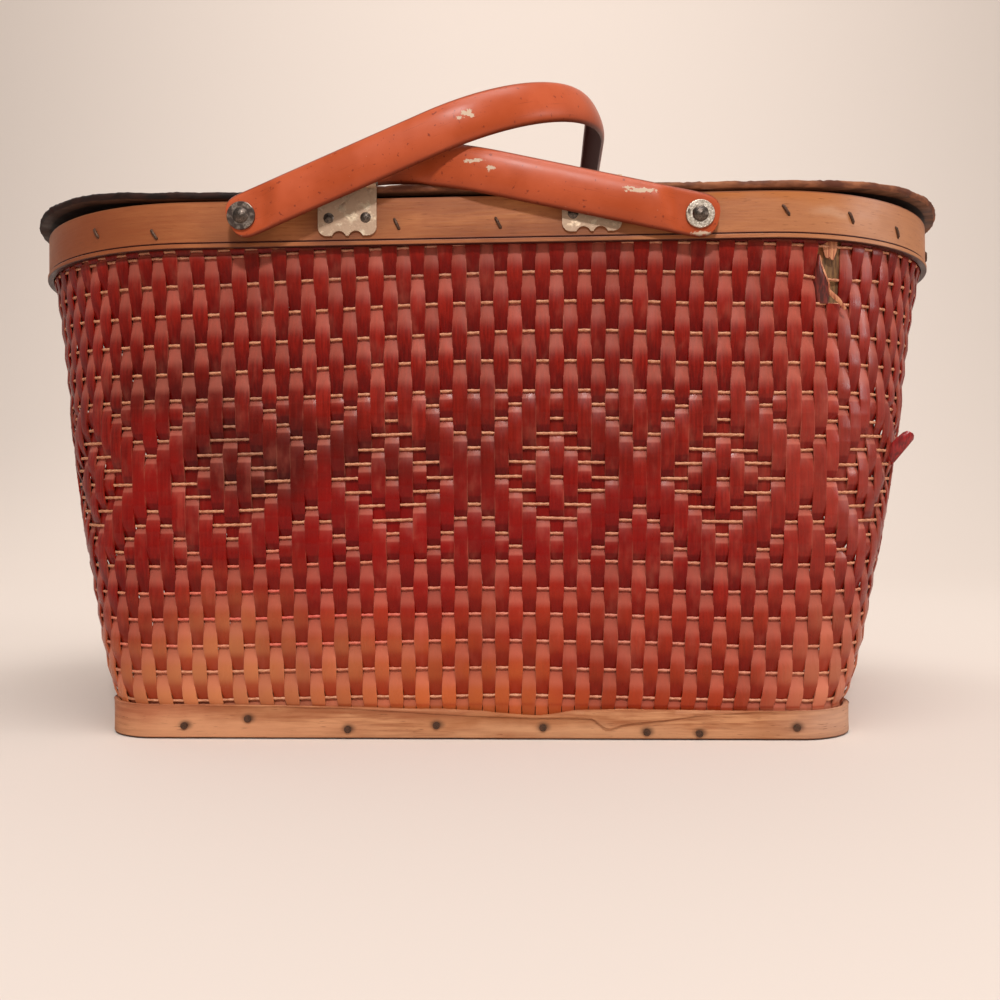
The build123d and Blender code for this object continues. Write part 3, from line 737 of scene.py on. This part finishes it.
# %% [markdown]
# ## Skirt
# The skirt is one bent strip round the foot. Damp has raised its upper edge, and in the middle of the back the
# outer fibres have split away and hang over the rest in a ragged lip. A texture can't give that lip its
# shadow, so the strip is swept round the foot with a section that changes: an edge height and a lip height
# are read from measured places along the back, and wander a little elsewhere.

# %% Skirt
SKIRT = (185.0, 131.0, 30.0)
SKIRT_THICK = 2.65
SKIRT_STEPS = 900
# by distance from the middle of the back: the height of the edge, that of the lip, and how far the lip stands out
EDGE_PLACES = ((-150, 16.4), (-111, 16.3), (-79, 15.8), (-40, 14.8), (-14, 14.5), (4, 13.6), (11, 12.5), (31, 11.6),
               (38, 12.2), (49, 13.8), (70, 14.6), (132, 13.7), (150, 13.9))
LIP_PLACES = ((-150, 15.9), (-60, 14.6), (-30, 12.9), (-4, 11.4), (25, 10.4), (57, 10.2), (63, 6.0), (66, 5.8),
              (72, 7.6), (84, 9.0), (108, 11.4), (132, 13.0), (150, 13.4))
PROUD_PLACES = ((-150, 0.05), (-60, 0.25), (-4, 0.5), (40, 0.6), (57, 1.0), (64, 1.7), (72, 1.3), (90, 0.8),
                (120, 0.3), (150, 0.05))
# the lip stays this much below the edge, and the foot this much above the table
LIP_BELOW = 0.4
FOOT_CLEAR = 0.25
FINE_SHARE = 0.45
FINE_SEED = 9.0


def wander(distance, seed, reach, coarse=0.05, fine=0.6):
    """Slow and fast noise along a distance in millimetres."""
    slow = noise.noise(Vector((distance * coarse, seed, 0.0)))
    fast = noise.noise(Vector((distance * fine, seed + FINE_SEED, 0.0)))
    return reach * (slow + FINE_SHARE * fast)


skirt_points = []
for number in range(SKIRT_STEPS):
    distance = plan_length(*SKIRT) * (number / SKIRT_STEPS - 0.5)
    x, y, nx, ny = plan(*SKIRT, distance)
    top = from_places(EDGE_PLACES, distance) + wander(distance, 1.0, 0.45)
    lip = min(from_places(LIP_PLACES, distance) + wander(distance, 4.0, 0.35), top - LIP_BELOW)
    proud = from_places(PROUD_PLACES, distance) * (1 + wander(distance, 7.0, 0.5))
    low = FOOT_CLEAR + abs(wander(distance, 12.0, 0.4))
    # (out, height) from the inner foot, under the strip, up its face, round the lip and over the edge
    section = ((-SKIRT_THICK, low), (-0.3, low), (0.0, low + 0.5), (-0.1, lip * 0.5), (0.0, lip + 0.15),
               (proud, lip), (proud + 0.15, lip + 0.5), (proud * 0.5, top - 0.5), (-0.5, top),
               (-SKIRT_THICK, top - 0.4))
    skirt_points += [(x + nx * out, y + ny * out, height) for out, height in section]
skirt = make_piece("skirt", skirt_points, ring_faces(SKIRT_STEPS, len(section), closed=True), bare_ash,
                   sharp=50)
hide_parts("base_band")

# %% [markdown]
# ## Lid
# The lid is a thin board of pressed bark-brown stock that has warped: both ends have risen, and its edge is
# soft and frayed. It is built from rings of points, from the middle of the underside round the edge to the
# middle of the top, so noise on the edge rings alone makes the fray.

# %% Finish of the lid
# the first is a stain, and the second is painted shade that darkens the left end of the top
LID_STAIN_AND_SHADE = (((40, 20, 266), (120, 80, 20), "#7C5238", 0.5), ((-225, -60, 266), (110, 150, 30), "#2A1812", 0.9))
LID_DRIFT = 0.04
# the left of the edge is painted dark as painted shade, and the edge is lighter to the right of these places in metres
LIGHT_EDGE = (-0.07, -0.04)


def dark_pressed_board():
    """Brown stained board: mottled, dull on top, fibrous along the edge, with painted shade that makes the left edge,
    the left end and the underside nearly black.
    """
    material, tree = new_material("dark_pressed_board", Specular_IOR_Level=0.2)
    place = add_node(tree, "TexCoord", out="Object")
    grain = stretched_noise(tree, place, (22, 260, 500))
    mottle = stretched_noise(tree, place, (60, 90, 200), detail=6.0)
    fray = add_node(tree, "Attribute", out="Fac", attribute_name="fray")
    colour = lay_over(tree, "#4A2C1C", "#6E4630", grain, 0.35, 0.65)
    colour = lay_over(tree, colour, "#8A5C40", mottle, 0.5, 0.75, 0.6)
    colour = stained(tree, place, LID_DRIFT, colour, LID_STAIN_AND_SHADE)
    # painted shade: the left part of the edge is nearly black
    shaded_left_edge = lay_over(tree, "#140A07", "#38201A", mottle, 0.35, 0.7)
    right_edge = lay_over(tree, "#5A2E1C", "#9A6040", mottle, 0.35, 0.7)
    along = add_node(tree, "SeparateXYZ", {"Vector": wandering_place(tree, place, LID_DRIFT)}, "X")
    edge = lay_over(tree, shaded_left_edge, right_edge, along, *LIGHT_EDGE)
    colour = lay_over(tree, colour, edge, fray, 0.3, 0.8)
    # only the underside has no fray at all, and it is painted nearly black as painted shade
    colour = lay_over(tree, colour, "#1E0F0A", fray, 0.03, 0.0)
    connect(tree, mottle, 0.6, 0.6, Base_Color=colour, Roughness=between(tree, mottle, 0.3, 0.7, 0.55, 0.8))
    return material


pressed_board = dark_pressed_board()
print("lid finish:", pressed_board.name)

# %% Lid
LID = (256.8, 130.1, 114.0)
LID_MIDDLE_Y = 0.5
LID_STEPS = 720
SMALLEST_BEND = 2.0
# how far in from the edge, the height, and how much the fray moves the ring
LID_RINGS = ((124.0, 262.5, 0.0), (60.0, 262.5, 0.0), (20.0, 262.5, 0.0), (6.0, 262.5, 0.0), (1.2, 262.7, 0.15),
             (0.5, 263.3, 1.0), (0.0, 264.2, 1.0), (0.1, 265.4, 1.0), (0.9, 266.3, 0.9), (4.0, 266.6, 0.3),
             (20.0, 266.5, 0.1), (60.0, 266.5, 0.05), (124.0, 266.5, 0.05))
# where each end starts to rise, where the rise ends, and how high
LID_RISES = {"left": (138.0, 214.0, 4.7), "right": (150.0, 240.0, 4.3)}
# the back edge also humps up: height, place, reach, and the depth over which it fades
LID_HUMP, HUMP_PLACE, HUMP_REACH, HUMP_FADE = 1.5, -25.0, 45.0, 130.0


def lid_rise(x, y):
    """How far the warped lid has risen at a place on it."""
    start, end, height = LID_RISES["left" if x < 0 else "right"]
    hump = LID_HUMP * exp(-((x - HUMP_PLACE) / HUMP_REACH) ** 2) * max(-y / HUMP_FADE, 0.0)
    return height * ease((abs(x) - start) / (end - start)) + hump


lid_points, fray = [], []
for inset, height, share in LID_RINGS:
    half_length, half_depth, radius = (size - inset for size in LID)
    ring = (half_length, half_depth, max(radius, SMALLEST_BEND))
    for number in range(LID_STEPS):
        x, y, nx, ny = plan(*ring, plan_length(*ring) * number / LID_STEPS)
        distance = plan_length(*LID) * number / LID_STEPS
        out = share * (wander(distance, 20.0, 0.9, coarse=0.04, fine=0.5)
                       + wander(distance, 23.0 + height, 0.4, coarse=0.3, fine=1.2))
        rise = lid_rise(x, y) + share * wander(distance, 27.0, 0.95, coarse=0.07, fine=0.5)
        lid_points.append((x + nx * out, y + ny * out + LID_MIDDLE_Y, height + rise))
        fray.append(share)
lid = make_piece("lid_panel", lid_points, ring_faces(len(LID_RINGS), LID_STEPS), pressed_board, "lid",
                 attributes={"fray": fray})
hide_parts("lid_board")

# %% [markdown]
# ## Handles
# Each handle is a strip of sheet steel pressed into a shallow channel with rolled sides, bent to a wide U, and
# hammered flat at its ends for the rivet. It is painted terracotta. The section is swept along the U and
# changes near the ends: the crown sinks into a flat plate, which reaches further along the upper side.

# %% Enamel
# places and reaches in millimetres of the chips that show in the photograph
HANDLE_CHIPS = (
    ((0.7, -142, 297.2), (3.4, 6, 2.4)), ((-3.9, -142, 294.6), (1.6, 6, 1.2)), ((10.3, -138, 272.0), (2.4, 6, 1.8)),
    ((1.5, -138, 276.0), (6.0, 6, 1.0)), ((-11.8, -138, 271.1), (1.0, 4, 0.6)), ((82.0, -138, 260.0), (9.0, 6, 1.2)),
    ((76.0, -138, 261.4), (3.0, 6, 0.8)), ((110.0, -135, 239.6), (5.0, 5, 1.2)), ((121.0, -135, 244.0), (1.4, 5, 3.0)),
)
CHIP_RAGGED = -3.4
CHIP_EDGE = (-0.85, -1.05)
PRIMER = "#C9AE96"


def terracotta_enamel():
    """Terracotta enamel on pressed steel: glossy, with chips to the primer at the edges, dark scratches, and painted
    shade in the hollow inside.
    """
    material, tree = new_material("terracotta_enamel", Specular_IOR_Level=0.22)
    place = add_node(tree, "TexCoord", out="Object")
    across, along, inside = (add_node(tree, "Attribute", out="Fac", attribute_name=name)
                             for name in ("across", "along", "inside"))
    cloud = stretched_noise(tree, place, [30] * 3, detail=4.0)
    specks = stretched_noise(tree, place, [420] * 3, detail=2.0)
    dents = stretched_noise(tree, place, [70] * 3, detail=2.0)
    strip = add_node(tree, "CombineXYZ", {"X": along, "Y": across})
    scratches = stretched_noise(tree, strip, (26, 34, 1), detail=3.0)
    colour = lay_over(tree, "#AA4824", "#BA5430", cloud, 0.35, 0.65)
    colour = lay_over(tree, colour, "#7A2E1C", specks, 0.66, 0.72, 0.8)
    # chips are a few millimetres across and gather along the rolled sides
    chips = stretched_noise(tree, place, [520] * 3, roughness=0.7)
    side = add_node(tree, "Math", {0: across}, operation="ABSOLUTE")
    worn = add_node(tree, "Math", {0: chips, 1: between(tree, side, 0.8, 1.0, 0.0, 0.06)}, operation="ADD")
    chipped = between(tree, worn, 0.71, 0.735)
    for centre, reach in HANDLE_CHIPS:
        far = reaches_away(tree, place, centre, reach)
        ragged = add_node(tree, "Math", {0: chips, 1: CHIP_RAGGED, 2: far}, operation="MULTIPLY_ADD")
        chipped = add_node(tree, "Math", {0: chipped, 1: between(tree, ragged, *CHIP_EDGE)}, operation="MAXIMUM")
    colour = add_node(tree, "Mix", {MIX_FACTOR: chipped, MIX_A: colour, MIX_B: PRIMER}, MIX_OUT, data_type="RGBA")
    # the rolled sides are darker, and the hollow inside is painted dark as painted shade, and dull
    colour = lay_over(tree, colour, "#4A1A0E", side, 0.85, 1.0, 0.8)
    colour = lay_over(tree, colour, "#5E2415", scratches, 0.66, 0.7, 0.7)
    colour = lay_over(tree, colour, "#4A180E", inside, 0.3, 0.7)
    rough = between(tree, cloud, 0.3, 0.7, 0.3, 0.42)
    for dull in (between(tree, inside, 0.3, 0.7, 0.0, 0.8), chipped):
        rough = add_node(tree, "Math", {0: rough, 1: dull}, operation="MAXIMUM")
    connect(tree, dents, 0.25, 0.8, Base_Color=colour, Roughness=rough)
    return material


enamel = terracotta_enamel()
print("enamel ready with", len(HANDLE_CHIPS), "chips placed by hand")

# %% Section of a handle
STRIP_HALF = 10.8
STRIP_DEPTH = 4.2
PLATE_DEPTH = 1.5
SHEET = 1.2
CROWN_POWER = 2.3
# the hollow inside is this share of the strip's width, and the plate's sides round off this fast
INSIDE_SHARE = 0.86
PLATE_ROUNDING = 2.2
# from the pivot: where the end starts to round off, where the plate turns into the crown, over what length,
# and how much further along the upper side
ROUND_FROM = 4.0
PLATE_END, PLATE_FADE, PLATE_SLANT = 15.0, 9.0, 4.5
OUTSIDE_STEPS = [sin(pi / 2 * (i / 8 - 1)) for i in range(17)]
INSIDE_STEPS = [-INSIDE_SHARE * step for step in OUTSIDE_STEPS[1:-1]]
SECTION_SIZE = len(OUTSIDE_STEPS) + len(INSIDE_STEPS)


def crown(u):
    """The arch of the strip across its width, 1 in the middle and 0 at its sides."""
    return sqrt(max(1 - abs(u) ** CROWN_POWER, 0.0))


def handle_section(along, end_reach):
    """(up, out, place across, whether inside) of the section's points at a distance from the pivot."""
    half = STRIP_HALF
    if along < ROUND_FROM:
        half *= max(1 - ((ROUND_FROM - along) / (ROUND_FROM + end_reach)) ** 3, 0.0) ** (1 / 3)
    section = []
    for steps, inside in ((OUTSIDE_STEPS, False), (INSIDE_STEPS, True)):
        for u in steps:
            if inside:
                plate, arch = 0.0, max((STRIP_DEPTH - SHEET) * crown(u / INSIDE_SHARE), 0.0)
            else:
                plate, arch = PLATE_DEPTH * min(crown(u) * PLATE_ROUNDING, 1.0), STRIP_DEPTH * crown(u)
            share = ease((along - PLATE_END - PLATE_SLANT * u) / PLATE_FADE + 0.5)
            section.append((u * half, mix(plate, arch, share), u, inside))
    return section


print("a handle's section has", SECTION_SIZE, "points")

# %% Handles
HANDLE_REACH = 189.0
HANDLE_BEND = 90.0
RIM_FACE = 130.3
PLATE_STEP, PLATE_RUN = 1.2, 24
ARM_FROM = 34.0
END_STEPS, ARM_STEPS, BEND_RINGS, GRIP_STEPS = 10, 8, 32, 4


def handle_path(standoff, end_reach):
    """(distance from the pivot, x, y, outward x, outward y) along the U, from the end on the back side."""
    inner = RIM_FACE + standoff
    radius = HANDLE_BEND - STRIP_DEPTH / 2
    bend_start = HANDLE_REACH - STRIP_DEPTH / 2 - radius
    stations = [(end_reach + ROUND_FROM) * (1 - cos(pi / 2 * i / END_STEPS)) - end_reach
                for i in range(END_STEPS)]
    stations += [ROUND_FROM + PLATE_STEP * i for i in range(PLATE_RUN)]
    stations += [ARM_FROM + (bend_start - ARM_FROM) * i / ARM_STEPS for i in range(ARM_STEPS + 1)]
    half = [(s, s, -inner, 0.0, -1.0) for s in stations]
    for step in range(1, BEND_RINGS + 1):
        turn = pi / 2 * step / BEND_RINGS
        half.append((bend_start + radius * turn, bend_start + radius * sin(turn),
                     radius - inner - radius * cos(turn), sin(turn), -cos(turn)))
    bend_end, grip = half[-1][0], inner - radius
    half += [(bend_end + grip * i / GRIP_STEPS, bend_start + radius, grip * (i / GRIP_STEPS - 1), 1.0, 0.0)
             for i in range(1, GRIP_STEPS + 1)]
    return half, [(s, x, -y, nx, -ny) for s, x, y, nx, ny in reversed(half[:-1])]


def make_handle(side, pivot, angle, standoff, end_reach, flip):
    """A channel strip swept along its U and turned up round its pivot. Flip is -1 for the right handle."""
    near, far = handle_path(standoff, end_reach)
    cosine, sine = cos(radians(angle)), sin(radians(angle))
    points, across, along, inner_side = [], [], [], []
    for number, (s, x, y, nx, ny) in enumerate(near + far):
        distance = s if number < len(near) else 2 * near[-1][0] - s
        for up, out, u, inside in handle_section(s, end_reach):
            reach = x + nx * out
            points.append((pivot[0] + flip * (reach * cosine - up * sine), y + ny * out,
                           pivot[1] + reach * sine + up * cosine))
            across.append(u)
            inner_side.append(float(inside))
            along.append(distance * MM)
    return make_piece(f"{side}_handle_strip", points, ring_faces(len(near + far), SECTION_SIZE), enamel,
                      f"{side}_handle", {"across": across, "along": along, "inside": inner_side})


# the pivot's x and height, the angle of the photograph, the gap to the rim and how far the end passes the pivot
left_handle = make_handle("left", (-108.5, 250.8), 22.6, 8.6, 6.6, 1)
right_handle = make_handle("right", (109.5, 248.8), 12.9, 3.6, 9.2, -1)
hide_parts("handle_left")
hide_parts("handle_right")

# %% [markdown]
# ## Metal
# The washers are zinc plate, bright at the right and gone brown at the left. The rivets are browned steel. The
# hinges are tin plate under a cream bloom of oxide with dark pits, and the nails and staples are rusted. Each
# starts from a bare metal and is dirtied by noise, because old metal is never one tone.

# %% Finishes of the metal
DIRT_FADE = 0.12
FINE_PITS = 4


def old_metal(name, clean, dirt, dirt_from, roughness, scale, pits):
    """Bare metal under patches of dirt or rust. The dirt is duller and isn't metallic."""
    material, tree = new_material(name)
    place = add_node(tree, "TexCoord", out="Object")
    patches = stretched_noise(tree, place, [scale] * 3, detail=6.0, roughness=0.65)
    fine = stretched_noise(tree, place, [scale * FINE_PITS] * 3, detail=3.0)
    dirt_edge = (dirt_from, dirt_from + DIRT_FADE)
    colour = lay_over(tree, *clean, fine, 0.35, 0.7)
    colour = lay_over(tree, colour, dirt, patches, *dirt_edge)
    connect(tree, fine, pits, 0.3, Base_Color=colour, Metallic=between(tree, patches, *dirt_edge, 1.0, 0.35),
            Roughness=between(tree, patches, 0.3, 0.7, *roughness))
    return material


dulled_zinc = old_metal("dulled_zinc", ("#A0907F", "#D8CABA"), "#4E3E34", 0.54, (0.3, 0.5), 330, 0.6)
browned_zinc = old_metal("browned_zinc", ("#6E5E52", "#A8988C"), "#3A2A22", 0.48, (0.32, 0.5), 330, 0.6)
browned_steel = old_metal("browned_steel", ("#4E433C", "#7A6C62"), "#2E2520", 0.52, (0.26, 0.45), 520, 0.5)
# oxide dulls most of the tin, so it takes a shadow like paint
aged_tin = old_metal("aged_tin_plate", ("#E6C8A8", "#F6E2C6"), "#B99A80", 0.36, (0.4, 0.58), 220, 0.6)
rusty_iron = old_metal("rusty_iron", ("#4A382E", "#6E5648"), "#5A3826", 0.45, (0.45, 0.7), 600, 0.6)
for end, washer_finish in (("left", browned_zinc), ("right", dulled_zinc)):
    for side in ("back", "front"):
        dress(washer_finish, f"pivot_washer_{end}_{side}")
        dress(browned_steel, *(f"pivot_{part}_{end}_{side}" for part in ("rivet", "spacer", "burr")))
    dress(aged_tin, f"hinge_{end}_rim_leaf", f"hinge_{end}_lid_leaf")
    dress(browned_steel, *(f"hinge_{end}_{part}" for part in ("pin", "rim_rivets", "lid_rivets")))
dress(rusty_iron, "base_nails", "lid_batten_nails")
print("metal on", sum("hinge" in name or "pivot" in name for name in nodes), "pivot and hinge pieces")

# %% [markdown]
# ## Staples
# The rim bands are stapled together by hand. Each staple is a bent wire whose crown lies aslant on the wood and
# whose legs go in. Round wire catches a thin light, which a flat bar wouldn't, so each is a bent tube.

# %% Staples
RIM = (250.0, 130.3, 111.5)
# (along the crown, out of the wood) from one leg's end to the other's
STAPLE_BENDS = ((-2.6, -1.8), (-2.6, -0.15), (-2.1, 0.35), (0.0, 0.45), (2.1, 0.35), (2.6, -0.15), (2.6, -1.8))
WIRE_RADIUS, WIRE_SIDES = 0.75, 7
STAPLE_LEAN, LEAN_SPREAD = radians(60), 0.1
# distances from the middle of the back and heights of the staples that the photograph shows
BACK_STAPLES = ((-190.8, 250.2), (-155.3, 245.9), (-35.4, 248.4), (13.7, 248.0), (151.1, 251.6), (185.8, 249.9),
                (219.3, 247.3))
# the others stand evenly from the first share of the way round, over the second, at three heights in turn
OTHER_STAPLES = 14
OTHERS_FROM, OTHERS_SPAN = 0.21, 0.58
OTHERS_HEIGHT, OTHERS_RISE = 247.0, 2.5


def wire(path):
    """Points round a wire along a path."""
    points = []
    for number, here in enumerate(path):
        turn = (path[min(number + 1, len(path) - 1)] - path[max(number - 1, 0)]).to_track_quat("Z", "Y")
        for side in range(WIRE_SIDES):
            angle = 2 * pi * side / WIRE_SIDES
            points.append(here + turn @ Vector((cos(angle), sin(angle), 0)) * WIRE_RADIUS)
    return points


other_staples = [(plan_length(*RIM) * (OTHERS_FROM + OTHERS_SPAN * n / (OTHER_STAPLES - 1)),
                  OTHERS_HEIGHT + OTHERS_RISE * (n % 3)) for n in range(OTHER_STAPLES)]
points, faces = [], []
for distance, height in [*BACK_STAPLES, *other_staples]:
    x, y, nx, ny = plan(*RIM, distance)
    lean = STAPLE_LEAN + rng.uniform(-LEAN_SPREAD, LEAN_SPREAD)
    line = Vector((-ny, nx, 0)) * cos(lean) - Vector((0, 0, sin(lean)))
    faces += ring_faces(len(STAPLE_BENDS), WIRE_SIDES, len(points))
    points += wire([Vector((x, y, height)) + line * a + Vector((nx, ny, 0)) * b for a, b in STAPLE_BENDS])
staples = make_piece("rim_wire_staples", points, faces, rusty_iron)
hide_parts("rim_staples")

# %% [markdown]
# ## Damage
# Near the right end two stakes have broken. The stump of one hangs from the rim, a loose strip of the other
# curls out beside the hole, and bare splint shows behind. Further down, the end of another splint has worked
# out of the weave. Each is a thin strip given by the places of its two edges, so it can cup, curl and taper like
# real splint.

# %% Finishes of torn splint
TORN_FIBRES, TORN_EDGE, TORN_RELIEF = (900, 900, 120), (0.35, 0.65), 0.3
# dark and light fibres, and the roughness
TORN_FINISHES = {
    "bare_torn_splint": ("#9A4E30", "#D08C60", 0.6),
    "stained_inner_splint": ("#5E3C20", "#8A6238", 0.7),
    # dyed splint darkened further with painted shade, for the face of the curled strip
    "shade_darkened_torn_splint": ("#42100A", "#7A2418", 0.45),
    "crimson_loose_splint": ("#6A0A0C", "#A01C1C", 0.3),
}
torn_finishes = {name: fibrous(name, TORN_FIBRES, (dark, light), TORN_EDGE, TORN_RELIEF, Roughness=rough)
                 for name, (dark, light, rough) in TORN_FINISHES.items()}
print("torn splint in", len(torn_finishes), "finishes")

# %% Torn strips
STRIP_SPREAD = (0.0, 0.25, 0.5, 0.75, 1.0)
# each strip has a finish, a bulge, a thickness, a raggedness of its last row, and rows of the places of its two
# edges: x, y and z of one, then of the other
TORN_STRIPS = {
    "broken_stake_stump": ("bare_torn_splint", 0.3, 0.7, 1.2, (
        (169.9, -120.8, 243.5, 177.9, -119.4, 243.5), (170.4, -121.6, 238.6, 177.7, -120.4, 238.4),
        (170.4, -121.6, 235.4, 177.4, -120.4, 234.2), (171.6, -121.4, 231.4, 175.6, -120.8, 229.8))),
    "splint_behind_break": ("stained_inner_splint", 0.6, 0.7, 0.0, (
        (163.6, -119.8, 243.0, 181.6, -116.6, 243.0), (163.4, -119.4, 206.0, 181.4, -116.0, 206.0))),
    # its face is painted dark as painted shade
    "curled_strip": ("shade_darkened_torn_splint", 1.0, 0.7, 0.0, (
        (167.7, -121.8, 232.2, 168.7, -122.2, 231.6), (166.9, -121.8, 228.6, 168.9, -123.4, 227.2),
        (165.6, -121.8, 224.4, 169.7, -124.8, 223.3), (164.9, -121.8, 219.8, 172.0, -125.0, 217.3),
        (165.6, -121.8, 213.6, 172.7, -123.6, 212.6), (166.8, -121.6, 208.4, 172.6, -121.8, 208.2))),
    "curled_strip_edge": ("bare_torn_splint", 0.0, 0.3, 0.0, (
        (168.5, -122.6, 231.6, 168.9, -122.6, 231.4), (168.7, -123.8, 227.4, 169.4, -123.8, 227.2),
        (169.4, -125.2, 223.5, 170.3, -125.2, 223.3), (171.6, -125.4, 217.6, 172.5, -125.4, 217.2),
        (172.4, -124.0, 212.8, 173.0, -124.0, 212.6))),
    "sliver": ("bare_torn_splint", 0.2, 0.5, 0.0, (
        (181.4, -121.0, 206.0, 180.6, -121.0, 205.0), (178.2, -122.6, 210.3, 176.9, -122.6, 208.6),
        (173.6, -123.4, 214.4, 172.6, -123.4, 212.2), (171.6, -123.0, 216.4, 171.2, -123.0, 215.2))),
    "loose_splint_end": ("crimson_loose_splint", 1.2, 0.7, 0.4, (
        (206.4, -90.0, 136.0, 211.8, -90.0, 131.0), (207.8, -92.5, 137.8, 213.4, -92.5, 132.8),
        (210.4, -95.0, 141.6, 216.0, -95.0, 136.8), (213.4, -96.5, 145.0, 218.8, -96.5, 140.6),
        (216.4, -97.0, 147.6, 221.4, -97.0, 144.0), (218.2, -97.0, 148.4, 221.6, -97.0, 146.2))),
}


def torn_strip(name, finish_name, bulge, thick, ragged, rows):
    """A thin strip through rows of two edge places, bulging towards -Y, with a ragged last row."""
    points = []
    for row in rows:
        front = []
        for share in STRIP_SPREAD:
            x, y, z = Vector(row[:3]).lerp(Vector(row[3:]), share)
            drop = ragged * rng.uniform(-1, 1) if row == rows[-1] else 0.0
            front.append((x, y - bulge * 4 * share * (1 - share), z + drop))
        points += front + [(x, y + thick, z) for x, y, z in reversed(front)]
    faces = ring_faces(len(rows), 2 * len(STRIP_SPREAD))
    make_piece(name, points, faces, torn_finishes[finish_name])


for name, strip in TORN_STRIPS.items():
    torn_strip(name, *strip)
